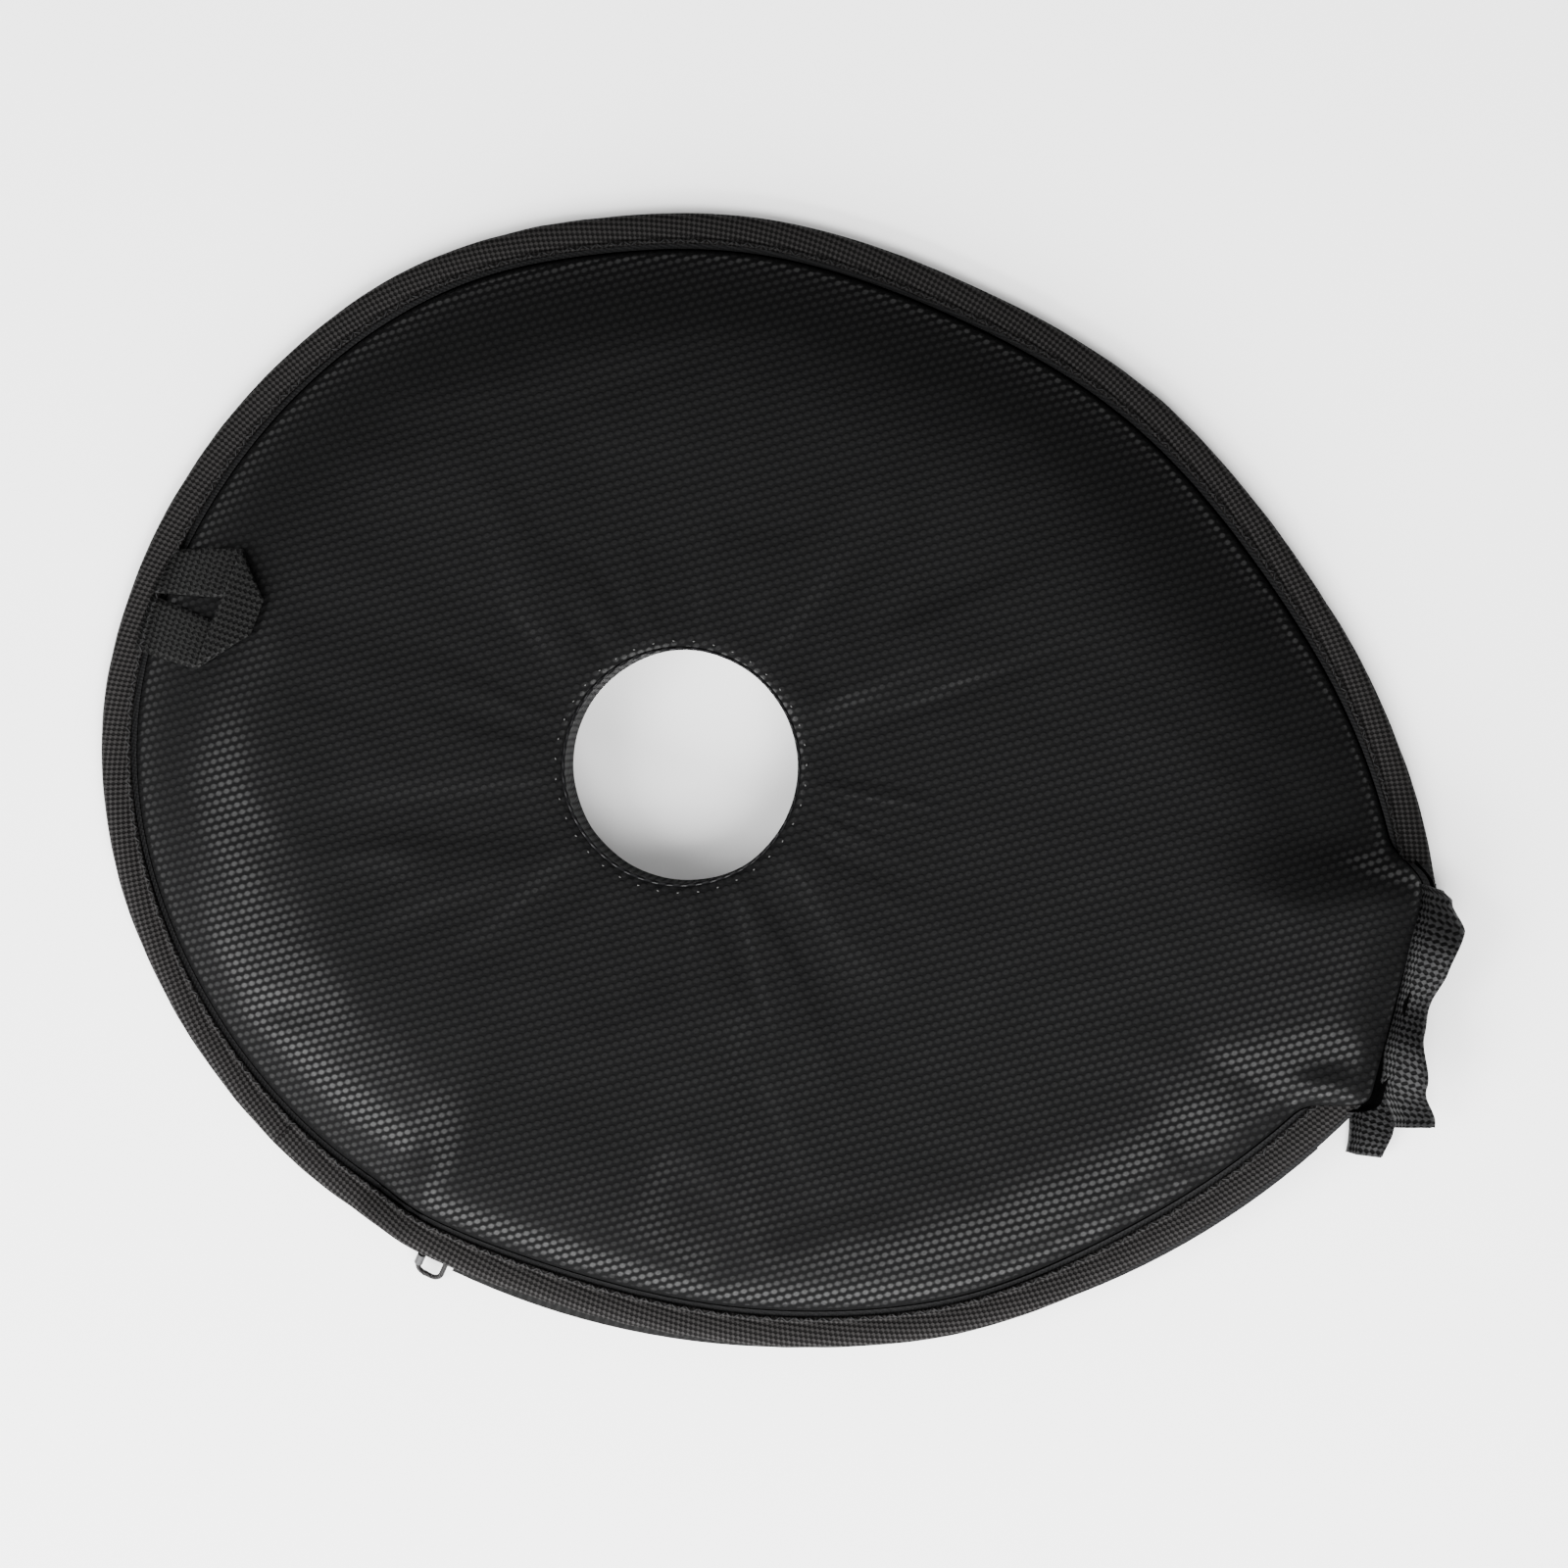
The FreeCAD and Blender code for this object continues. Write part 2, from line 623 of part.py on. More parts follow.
def mouth_rims():
    slot = "(mouth_x - flange_inset + 0.1)"
    middle = f"(({OPEN_LINING} + {OPEN_TOP}) / 2)"
    front = [("mouth_inner", f"{OPEN_LINING} - mouth_tape"), ("mouth_x", f"{OPEN_LINING} - mouth_tape"),
             ("mouth_outer", f"{middle} - mouth_tape"), ("mouth_outer", f"{middle} + mouth_tape"),
             ("mouth_x", f"{OPEN_TOP} + mouth_tape"), ("mouth_inner", f"{OPEN_TOP} + mouth_tape"),
             ("mouth_inner", OPEN_TOP), (slot, OPEN_TOP), (slot, OPEN_LINING), ("mouth_inner", OPEN_LINING)]
    back = [("mouth_inner", "0"), ("mouth_outer", "0"), ("mouth_outer", "2 * mouth_tape"),
            ("mouth_x", f"{BACK_TOP} + mouth_tape"), ("mouth_inner", f"{BACK_TOP} + mouth_tape"),
            ("mouth_inner", BACK_TOP), (slot, BACK_TOP), (slot, BACK_COVER), ("mouth_inner", BACK_COVER)]
    mouth_webbing("mouth_webbing_front", front, "front_end_y")
    mouth_webbing("mouth_webbing_back", back, "back_end_y")


# ---------------------------------------------------------------- hanging loop

def hanging_loop():
    """Webbing folded into a point, sewn in at the round end and lying on the panel's shoulder."""
    body = new_body("hanging_loop")
    edge_x = "(end_centre - end_radius)"
    upright = "(loop_thick * 1.27)"
    lower = [("(loop_pivot_x + 0.9)", "(loop_pivot_z - 0.6)")]
    for step in SWELL_STEPS[1:5]:
        rise = 1 - (1 - step) ** CLOSED_SWELL
        x = f"({edge_x} + binding_width + (crown_inset - binding_width) * {step})"
        z = f"({CLOSED_TOP} + (crown_height - {CLOSED_TOP}) * {rise:.6f} + loop_clearance * 1.5)"
        lower.append((x, z))
    lower.append(("loop_tip_x", "(crown_height - loop_thick * 1.5)"))
    upper = [(x, f"({z} + {upright})") for x, z in reversed(lower[1:])]
    upper.append(("(loop_pivot_x - 0.8)", "(loop_pivot_z + 0.8)"))
    band = new_sketch(body, "XZ_Plane")
    polygon(band, lower + upper)
    pad(body, band, "loop_side", midplane=True)
    barrel = new_sketch(body, "XZ_Plane")
    circle(barrel, "(loop_thick / 2)", "loop_pivot_x", "loop_pivot_z")
    pad(body, barrel, "loop_side", midplane=True)

    root_x = "(loop_pivot_x - loop_thick / 2 - 0.1)"
    outline = [(root_x, "loop_root_low"), ("loop_low_fold_x", "loop_low_fold_y"),
               ("loop_tip_x", "loop_tip_low"), ("loop_tip_x", "loop_tip_high"),
               ("loop_high_fold_x", "loop_high_fold_y"), (root_x, "loop_root_high")]
    outside = box_corners("(loop_pivot_x - 10)", "(loop_tip_x + 10)", "(-loop_side)", "loop_side")
    trim = new_sketch(body, "XY_Plane")
    polygon(trim, outside)
    polygon(trim, outline)
    pocket(body, trim)
    eye = new_sketch(body, "XY_Plane")
    polygon(eye, [("loop_eye_root_x", "loop_eye_root_y"), ("loop_eye_x", "loop_eye_low"),
                  ("loop_eye_x", "loop_eye_high")])
    pocket(body, eye)


back_panel()
hole_sleeve()
front_panel("fixed", BACK_TOP, False, CLOSED_SWELL)
front_panel("flap", OPEN_LINING, True, OPEN_SWELL)
edge_binding()
zip_binding("zip_binding_back", BACK_COVER, ZIP_BOTTOM)
zip_binding("zip_binding_front", ZIP_TOP, OPEN_TOP)
zip_half("back", BACK_TOP, -1, "zip_start")
zip_half("front", OPEN_LINING, 1, COIL_TO_FRONT)
stop_clamp("bottom_stop", "zip_start", f"{ZIP_MIDDLE} - coil_gap / 2",
           f"{ZIP_MIDDLE} + coil_gap / 2 + 2 * coil_radius")
slider()
pull()
mouth_rims()
hanging_loop()

doc.recompute()
for feature in doc.Objects:
    if "Invalid" in feature.State or "Error" in feature.State:
        raise ValueError(f"{feature.Name} did not build: {feature.State}")
os.makedirs("parts", exist_ok=True)
for body in subparts:
    if body.Shape.isNull() or not body.Shape.isValid():
        raise ValueError(f"{body.Label} has no valid shape")
    body.Shape.exportStep(f"parts/{body.Label}.step")
    box = body.Shape.BoundBox
    print(f"{body.Label}: {len(body.Shape.Solids)} solid, {body.Shape.Volume / 1000:.2f} cm3,",
          f"x {box.XMin:.1f} {box.XMax:.1f}, y {box.YMin:.1f} {box.YMax:.1f},",
          f"z {box.ZMin:.2f} {box.ZMax:.2f}")
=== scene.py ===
import math

import bmesh
import bpy
from mathutils import Matrix, Vector, noise


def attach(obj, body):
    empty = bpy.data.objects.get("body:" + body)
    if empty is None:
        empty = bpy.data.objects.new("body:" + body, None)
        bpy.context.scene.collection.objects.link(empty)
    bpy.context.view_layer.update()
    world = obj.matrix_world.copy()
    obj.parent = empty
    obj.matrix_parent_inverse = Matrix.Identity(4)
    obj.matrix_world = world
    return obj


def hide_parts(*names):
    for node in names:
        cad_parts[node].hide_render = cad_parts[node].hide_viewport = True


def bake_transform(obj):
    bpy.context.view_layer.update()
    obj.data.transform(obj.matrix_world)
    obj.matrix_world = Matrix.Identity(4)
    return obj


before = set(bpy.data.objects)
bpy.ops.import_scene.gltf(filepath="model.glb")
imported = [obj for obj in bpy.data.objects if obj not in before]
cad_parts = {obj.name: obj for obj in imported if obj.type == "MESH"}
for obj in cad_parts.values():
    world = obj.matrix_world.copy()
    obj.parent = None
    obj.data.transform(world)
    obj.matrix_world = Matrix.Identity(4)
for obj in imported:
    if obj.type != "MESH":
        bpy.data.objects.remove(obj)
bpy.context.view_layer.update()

MM = 0.001

# ---------------------------------------------------------------- floor, light and camera
# A pale sheet of board under the case, a large soft lamp low on the zip side that rakes the cloth,
# two weak fills overhead, and the camera almost straight above the front panel.

FLOOR_REACH = 4
FLOOR_Z = -0.2 * MM
floor_mesh = bpy.data.meshes.new("floor")
floor_corners = [(x * FLOOR_REACH, y * FLOOR_REACH, FLOOR_Z) for x, y in ((-1, -1), (1, -1), (1, 1), (-1, 1))]
floor_mesh.from_pydata(floor_corners, [], [(0, 1, 2, 3)])
floor = bpy.data.objects.new("floor", floor_mesh)
bpy.context.collection.objects.link(floor)
floor_paint = bpy.data.materials.new("pale_board")
floor_paint.use_nodes = True
floor_paint.node_tree.nodes["Principled BSDF"].inputs["Base Color"].default_value = (0.97, 0.97, 0.97, 1)
floor_paint.node_tree.nodes["Principled BSDF"].inputs["Roughness"].default_value = 0.9
floor_mesh.materials.append(floor_paint)

world = bpy.data.worlds.new("studio")
bpy.context.scene.world = world
world.use_nodes = True
world.node_tree.nodes["Background"].inputs["Color"].default_value = (1, 1, 1, 1)
world.node_tree.nodes["Background"].inputs["Strength"].default_value = 0.8


def soft_lamp(name, place, aim, width, height, power):
    lamp = bpy.data.lights.new(name, "AREA")
    lamp.shape = "RECTANGLE"
    lamp.size = width
    lamp.size_y = height
    lamp.energy = power
    holder = bpy.data.objects.new(name, lamp)
    bpy.context.collection.objects.link(holder)
    holder.location = place
    holder.rotation_euler = (Vector(aim) - Vector(place)).to_track_quat("-Z", "Y").to_euler()


soft_lamp("key_lamp", (-0.02, -1.48, 0.72), (0.03, 0.0, 0.0), 3.4, 0.7, 180)
soft_lamp("side_fill", (-0.95, -0.75, 1.35), (0.0, 0.0, 0.0), 0.9, 0.9, 36)
soft_lamp("corner_lamp", (0.5, -0.55, 1.1), (0.12, -0.08, 0.0), 0.75, 0.65, 25)

VIEW_TURN = math.radians(17.5)
TILT = math.radians(3.8)
TILT_TOWARDS = math.radians(40)
CAMERA_AIM = Vector((28.5, 3.7, 15)) * MM
CAMERA_DISTANCE = 1.5
view_up = Vector((-math.sin(VIEW_TURN), math.cos(VIEW_TURN), 0))
camera_back = Vector((math.sin(TILT) * math.cos(TILT_TOWARDS), math.sin(TILT) * math.sin(TILT_TOWARDS),
                      math.cos(TILT)))
view_right = view_up.cross(camera_back).normalized()
view_up = camera_back.cross(view_right)
camera_data = bpy.data.cameras.new("camera")
camera_data.lens = 122.3
camera_data.sensor_width = 36
camera = bpy.data.objects.new("camera", camera_data)
bpy.context.collection.objects.link(camera)
camera.matrix_world = Matrix.Translation(CAMERA_AIM + camera_back * CAMERA_DISTANCE) @ Matrix(
    (view_right, view_up, camera_back)).transposed().to_4x4()
bpy.context.scene.camera = camera

# ---------------------------------------------------------------- front panel
# The domed front of the case: one piece of coated basket-weave cloth over foam, sewn to the back
# all round and standing open along the zip.  It is inflated as cloth between its sewn edges.

END_RADIUS = 157 * MM
END_CENTRE = Vector((-7 * MM, 0))
SIDE_RADIUS = 225 * MM
JOIN_ANGLE = math.radians(104)
MOUTH_X = 212 * MM
SIDE_CENTRE = Vector((END_CENTRE.x - (SIDE_RADIUS - END_RADIUS) * math.cos(JOIN_ANGLE),
                      (SIDE_RADIUS - END_RADIUS) * math.sin(JOIN_ANGLE)))
FOLD_TURN = math.radians(35.7)
FOLD_DISTANCE = 97.7 * MM
CROWN_Z = 26 * MM
CROWN_INSET = 70 * MM
BINDING_WIDTH = 8.8 * MM
CLOSED_RIM_Z = 4.2 * MM
OPEN_RIM_Z = 16.8 * MM


def corner_angle(inset):
    """Where a side arc meets the mouth edge, seen from that arc's centre."""
    return math.acos((MOUTH_X - inset - SIDE_CENTRE.x) / (SIDE_RADIUS - inset))


def outline_lengths():
    side = SIDE_RADIUS * (JOIN_ANGLE - corner_angle(0))
    mouth = 2 * (SIDE_RADIUS * math.sin(corner_angle(0)) - SIDE_CENTRE.y)
    end = END_RADIUS * 2 * (math.pi - JOIN_ANGLE)
    return side, mouth, side, end


OUTLINE_LENGTH = sum(outline_lengths())
ZIP_SIDE_END = outline_lengths()[0] / OUTLINE_LENGTH
MOUTH_END = (outline_lengths()[0] + outline_lengths()[1]) / OUTLINE_LENGTH
CLOSED_SIDE_END = 1 - outline_lengths()[3] / OUTLINE_LENGTH


SEAM_WANDER = [
    # direction from the hole, how far the sewn seam strays outwards there, and over what angle
    (195, 4.4, 25),
    (116, -2.6, 14),
    (77, -3.6, 23),
    (37, -3.4, 17),
    (275, -2.2, 19),
    (314, 0.8, 10),
]


def seam_wander(point):
    """How far the seam lies outside its pattern line, in the direction of a point."""
    direction = math.degrees(math.atan2(point.y, point.x))
    total = 0.0
    for middle, reach, width in SEAM_WANDER:
        away = (direction - middle + 180) % 360 - 180
        total += reach * math.exp(-(away / width) ** 2)
    return total * MM


def on_outline(part, inset):
    """A point on the outline moved inwards.

    Part runs 0 to 1 from the zip's far end to the mouth and on round the closed side.
    """
    return pattern_line(part, inset - seam_wander(pattern_line(part, 0)))


def pattern_line(part, inset):
    """The same on the paper pattern, before the seam strays."""
    part = part % 1.0
    side_radius = SIDE_RADIUS - inset
    corner = corner_angle(inset)
    if part < ZIP_SIDE_END:
        angle = -JOIN_ANGLE + (JOIN_ANGLE - corner) * part / ZIP_SIDE_END
        return SIDE_CENTRE + side_radius * Vector((math.cos(angle), math.sin(angle)))
    if part < MOUTH_END:
        high = side_radius * math.sin(corner) - SIDE_CENTRE.y
        return Vector((MOUTH_X - inset, high * (2 * (part - ZIP_SIDE_END) / (MOUTH_END - ZIP_SIDE_END) - 1)))
    if part < CLOSED_SIDE_END:
        angle = corner + (JOIN_ANGLE - corner) * (part - MOUTH_END) / (CLOSED_SIDE_END - MOUTH_END)
        centre = Vector((SIDE_CENTRE.x, -SIDE_CENTRE.y))
        return centre + side_radius * Vector((math.cos(angle), math.sin(angle)))
    angle = JOIN_ANGLE + 2 * (math.pi - JOIN_ANGLE) * (part - CLOSED_SIDE_END) / (1 - CLOSED_SIDE_END)
    return END_CENTRE + (END_RADIUS - inset) * Vector((math.cos(angle), math.sin(angle)))


def smooth(low, high, number):
    step = min(max((number - low) / (high - low), 0.0), 1.0)
    return step * step * (3 - 2 * step)


def inset_of(point):
    """How far a point lies inside the seam line, eased where the two sides meet along the middle."""
    return pattern_inset(point) + seam_wander(point)


def pattern_inset(point):
    lower = SIDE_RADIUS - (point - SIDE_CENTRE).length
    upper = SIDE_RADIUS - (point - Vector((SIDE_CENTRE.x, -SIDE_CENTRE.y))).length
    from_end = point - END_CENTRE
    if abs(math.atan2(from_end.y, from_end.x)) > JOIN_ANGLE:
        return END_RADIUS - from_end.length
    ease = 14 * MM
    distances = (lower, upper, MOUTH_X - point.x)
    total = sum(math.exp(-distance / ease) for distance in distances)
    nearest = min(distances)
    eased = -ease * math.log(total)
    return nearest + (eased - nearest) * smooth(10 * MM, 40 * MM, nearest)


def past_fold(point):
    """Distance beyond the fold line, towards the zip."""
    return -(point.y * math.cos(FOLD_TURN) - point.x * math.sin(FOLD_TURN)) - FOLD_DISTANCE


def openness(point):
    """0 where the rims are sewn shut and 1 where they stand open beside the zip."""
    return smooth(-9 * MM, 9 * MM, past_fold(point))


def rim_height(point):
    return CLOSED_RIM_Z + (OPEN_RIM_Z - CLOSED_RIM_Z) * openness(point)


def dome_height(point, inset, drop=0.0):
    """Height of the padded panel: full at the crown, falling to the rim."""
    step = min(max((inset - BINDING_WIDTH - drop) / (CROWN_INSET - BINDING_WIDTH), 0.0), 1.0)
    crown = CROWN_Z - drop
    opened_here = openness(point * (1 + inset / max(point.length, 1 * MM)))
    closed = CLOSED_RIM_Z + (crown - CLOSED_RIM_Z) * (1 - (1 - step) ** 3.2)
    opened = OPEN_RIM_Z + (crown - OPEN_RIM_Z) * (1 - (1 - step) ** 6)
    return closed + (opened - closed) * opened_here


def crease(point, start, end, width, depth):
    """Depth of a soft fold pressed into the cloth along a line."""
    along = end - start
    part = min(max((point - start).dot(along) / along.length_squared, 0.0), 1.0)
    away = (point - start - along * part).length
    return -depth * math.sin(math.pi * (0.08 + 0.84 * part)) * math.exp(-(away / width) ** 2)


CREASES = [
    # start, end, width, depth: the pucker at the mouth's lower corner and faint folds of the foam
    ((180, -33), (213, -15), 5.0, 2.3),
    ((184, -45), (210, -27), 3.4, -1.3),
    ((44, 24), (96, 66), 2.6, 0.35),
    ((-66, 84), (-20, 118), 3.5, 0.45),
    ((-120, 60), (-60, 86), 5.0, 0.4),
    ((20, 122), (60, 142), 4.0, 0.4),
    ((-138, -40), (-104, -58), 5.0, 0.5),
    ((-104, -104), (-76, -96), 4.0, 0.6),
    ((60, -120), (92, -96), 5.0, 0.4),
    ((120, 60), (168, 44), 5.0, 0.35),
]


def panel_relief(point):
    relief = 0.0
    for start, end, width, depth in CREASES:
        relief += crease(point, Vector(start) * MM, Vector(end) * MM, width * MM, depth * MM)
    relief += 0.45 * MM * noise.noise(Vector((point.x * 22, point.y * 22, 3.1)))
    relief += 0.22 * MM * noise.noise(Vector((point.x * 70, point.y * 70, 9.7)))
    return relief


def build_grid(name, rows, wrap_columns=True, wrap_rows=False, uv_rows=None):
    """A mesh of quads over rows of points.

    Faces look up when columns run anticlockwise and rows inwards.
    """
    height = len(rows)
    width = len(rows[0])
    verts = [tuple(point) for row in rows for point in row]
    faces = []
    corners = []
    for row in range(height if wrap_rows else height - 1):
        for column in range(width if wrap_columns else width - 1):
            quad = [(row, column), (row, column + 1), (row + 1, column + 1), (row + 1, column)]
            faces.append([(r % height) * width + c % width for r, c in quad])
            corners.append(quad)
    mesh = bpy.data.meshes.new(name)
    mesh.from_pydata(verts, [], faces)
    if uv_rows is not None:
        layer = mesh.uv_layers.new(name="cut")
        slot = 0
        for quad in corners:
            for row, column in quad:
                layer.data[slot].uv = uv_rows(row, column)
                slot += 1
    mesh.polygons.foreach_set("use_smooth", [True] * len(mesh.polygons))
    piece = bpy.data.objects.new(name, mesh)
    bpy.context.collection.objects.link(piece)
    return piece


HOLE_RADIUS = 32.5 * MM
PANEL_COLUMNS = 384
# inset from the outline and height above the rim in millimetres, across the groove beside the
# binding; where no height is given the panel's own dome sets it
RIM_STEPS = [(7.4, 0.2), (8.8, -0.6), (9.5, -1.2), (10.2, -1.1), (10.7, 1.0),
             (12, None), (13.8, None), (16.2, None)]
SEAM_ROWS = 4
# radius and height in millimetres where the panel turns down into the hole
HOLE_TURN = [(33.1, 24.9), (32.7, 23.6), (32.9, 22.0)]
FIELD_ROWS = 30


MOUTH_REACH = 10.6 * MM
MOUTH_REACH_LOSS = 3.4 * MM


def mouth_reach(part):
    """How much nearer to the outline the panel's edge comes at the mouth, where no binding covers it."""
    along = (part - ZIP_SIDE_END) / (MOUTH_END - ZIP_SIDE_END)
    near = smooth(-0.2, 0.02, along) * (1 - smooth(0.98, 1.2, along))
    return (MOUTH_REACH - MOUTH_REACH_LOSS * min(max(along, 0.0), 1.0)) * near


def front_tape_shift(part):
    """How far the front zip binding, in millimetres, lies inside the back one."""
    along = part / ZIP_SIDE_END
    return 1.7 * smooth(0.55, 0.8, along) + 0.4 * smooth(0.0, 0.2, along)


def edge_shift(part):
    """The panel's edge follows the front zip binding, and reaches outwards at the mouth."""
    if part > ZIP_SIDE_END:
        return -mouth_reach(part)
    reach = mouth_reach(part)
    return front_tape_shift(part) * MM * (1 - reach / MOUTH_REACH) - reach


def panel_rows():
    rows = []
    for inset, lift in RIM_STEPS:
        row = []
        for column in range(PANEL_COLUMNS):
            part = column / PANEL_COLUMNS
            edge = on_outline(part, 0)
            point = on_outline(part, inset * MM + edge_shift(part))
            height = dome_height(point, inset * MM) if lift is None else rim_height(edge) + lift * MM
            row.append((point.x, point.y, height))
        rows.append(row)
    start_inset = RIM_STEPS[-1][0] * MM
    for step in range(1, FIELD_ROWS + 1):
        part = step / FIELD_ROWS
        row = []
        for column in range(PANEL_COLUMNS):
            start = start_inset + edge_shift(column / PANEL_COLUMNS)
            outer = on_outline(column / PANEL_COLUMNS, start)
            inner = outer.normalized() * (HOLE_RADIUS + 1.9 * MM)
            point = outer + (inner - outer) * part
            inset = inset_of(point) + (start_inset - start) * (1 - part) ** 3
            height = dome_height(point, inset) + panel_relief(point) * smooth(-0.04, 0.05, part)
            height -= 0.5 * MM * smooth(0.97, 1.0, part)
            row.append((point.x, point.y, height))
        rows.append(row)
    for radius, height in HOLE_TURN:
        row = []
        for column in range(PANEL_COLUMNS):
            way = on_outline(column / PANEL_COLUMNS, 0).normalized() * radius * MM
            row.append((way.x, way.y, height * MM))
        rows.append(row)
    return rows


front_panel = build_grid("front_panel", panel_rows())


INFLATE_FRAMES = 20
PANEL_PRESSURE = 0.5
PANEL_GIVE = 0.35 * MM


def inflate(piece, rows, sewn_rows, pressure, cap):
    """Blow a sewn panel up as cloth, held along its sewn rows, and keep each point near where it was."""
    mesh = piece.data
    width = len(rows[0])
    sewn = piece.vertex_groups.new(name="sewn")
    for row in range(len(rows)):
        held = 1.0 if row in sewn_rows else 0.0
        sewn.add(list(range(row * width, (row + 1) * width)), held, "REPLACE")
    cloth = piece.modifiers.new("cloth", "CLOTH")
    cloth.settings.quality = 4
    cloth.settings.mass = 0.4
    cloth.settings.tension_stiffness = 25
    cloth.settings.compression_stiffness = 25
    cloth.settings.bending_stiffness = 14
    cloth.settings.vertex_group_mass = "sewn"
    cloth.settings.use_pressure = True
    cloth.settings.uniform_pressure_force = pressure
    cloth.settings.shrink_min = -0.004
    cloth.settings.effector_weights.gravity = 0
    cloth.point_cache.frame_start = 1
    cloth.point_cache.frame_end = INFLATE_FRAMES
    scene = bpy.context.scene
    for tick in range(1, INFLATE_FRAMES + 1):
        scene.frame_set(tick)
    evaluated = piece.evaluated_get(bpy.context.evaluated_depsgraph_get())
    blown = evaluated.to_mesh()
    moved = []
    for before, after in zip(mesh.vertices, blown.vertices):
        shift = after.co - before.co
        if shift.length > cap:
            shift *= cap / shift.length
        moved.append(before.co + shift)
    evaluated.to_mesh_clear()
    piece.modifiers.remove(cloth)
    piece.vertex_groups.remove(sewn)
    scene.frame_set(1)
    for vertex, place in zip(mesh.vertices, moved):
        vertex.co = place


hole_edge_row = len(RIM_STEPS) + FIELD_ROWS - 1
sewn_rows = set(range(SEAM_ROWS + 1)) | set(range(hole_edge_row, hole_edge_row + 1 + len(HOLE_TURN)))
inflate(front_panel, panel_rows(), sewn_rows, PANEL_PRESSURE, PANEL_GIVE)
subdivide = front_panel.modifiers.new("subdivide", "SUBSURF")
subdivide.levels = 1
subdivide.render_levels = 1


class Wire:
    """A number in a material; arithmetic on it adds the Math nodes."""

    def __init__(self, finish, socket):
        self.finish = finish
        self.socket = socket

    def maths(self, operation, *others):
        node = self.finish.node("ShaderNodeMath", {"operation": operation}, [self, *others])
        return Wire(self.finish, node.outputs[0])

    def __add__(self, other):
        return self.maths("ADD", other)

    __radd__ = __add__

    def __mul__(self, other):
        return self.maths("MULTIPLY", other)

    __rmul__ = __mul__

    def __sub__(self, other):
        return self.maths("SUBTRACT", other)

    def __rsub__(self, other):
        return (self * -1) + other

    def cos(self):
        return self.maths("COSINE")

    def sin(self):
        return self.maths("SINE")

    def ramp(self, low, high):
        node = self.finish.node("ShaderNodeMapRange", {"interpolation_type": "SMOOTHSTEP"},
                                {"Value": self, "From Min": low, "From Max": high})
        return Wire(self.finish, node.outputs["Result"])


class Finish:
    """A material under way: its shader, and one method that adds any other node."""

    def __init__(self, name, **constants):
        self.material = bpy.data.materials.new(name)
        self.material.use_nodes = True
        self.tree = self.material.node_tree
        self.shader = self.tree.nodes["Principled BSDF"]
        for socket, number in constants.items():
            self.shader.inputs[socket.replace("_", " ")].default_value = number

    def node(self, kind, settings, inputs):
        node = self.tree.nodes.new(kind)
        for name, setting in settings.items():
            setattr(node, name, setting)
        pairs = enumerate(inputs) if isinstance(inputs, list) else inputs.items()
        for socket, source in pairs:
            if isinstance(source, Wire):
                self.tree.links.new(source.socket, node.inputs[socket])
            else:
                node.inputs[socket].default_value = source
        return node

    def place(self):
        """Object coordinates in millimetres."""
        source = self.node("ShaderNodeTexCoord", {}, {})
        split = self.node("ShaderNodeSeparateXYZ", {}, [Wire(self, source.outputs["Object"])])
        return [Wire(self, split.outputs[index]) * 1000 for index in range(3)]

    def cut(self):
        """The piece's own pattern coordinates, along and across, in millimetres."""
        source = self.node("ShaderNodeUVMap", {"uv_map": "cut"}, {})
        split = self.node("ShaderNodeSeparateXYZ", {}, [Wire(self, source.outputs[0])])
        return [Wire(self, split.outputs[index]) * 1000 for index in range(2)]

    def cloudy(self, scale, detail=3.0):
        """Noise from 0 to 1 on object coordinates; scale is in features per metre."""
        source = self.node("ShaderNodeTexCoord", {}, {})
        node = self.node("ShaderNodeTexNoise", {}, {"Vector": Wire(self, source.outputs["Object"]),
                                                     "Scale": scale, "Detail": detail})
        return Wire(self, node.outputs["Fac"])

    def colour(self, dark, light, amount):
        node = self.node("ShaderNodeMix", {"data_type": "RGBA"}, {0: amount, 6: (*dark, 1), 7: (*light, 1)})
        self.tree.links.new(node.outputs[2], self.shader.inputs["Base Color"])

    def roughness(self, amount):
        self.tree.links.new(amount.socket, self.shader.inputs["Roughness"])

    def coat(self, amount):
        self.tree.links.new(amount.socket, self.shader.inputs["Coat Weight"])

    def bump(self, height, depth, strength=1.0):
        node = self.node("ShaderNodeBump", {}, {"Height": height, "Distance": depth, "Strength": strength})
        self.tree.links.new(node.outputs["Normal"], self.shader.inputs["Normal"])


WEAVE_PITCH = (2.26, 2.235)
WEAVE_TURN = (math.radians(122.8), math.radians(56.0))


def basket_weave(x, y):
    """Height of the cloth's short floats, which lie in slanting rows: about -1 in the gaps and 1 on top."""
    phases = []
    for pitch, turn in zip(WEAVE_PITCH, WEAVE_TURN):
        step = 2 * math.pi / pitch
        phases.append(x * (math.cos(turn) * step) + y * (math.sin(turn) * step))
    rows, columns = phases
    return rows.cos() * 0.5 + columns.cos() * 0.28 + (rows - columns).cos() * 0.22


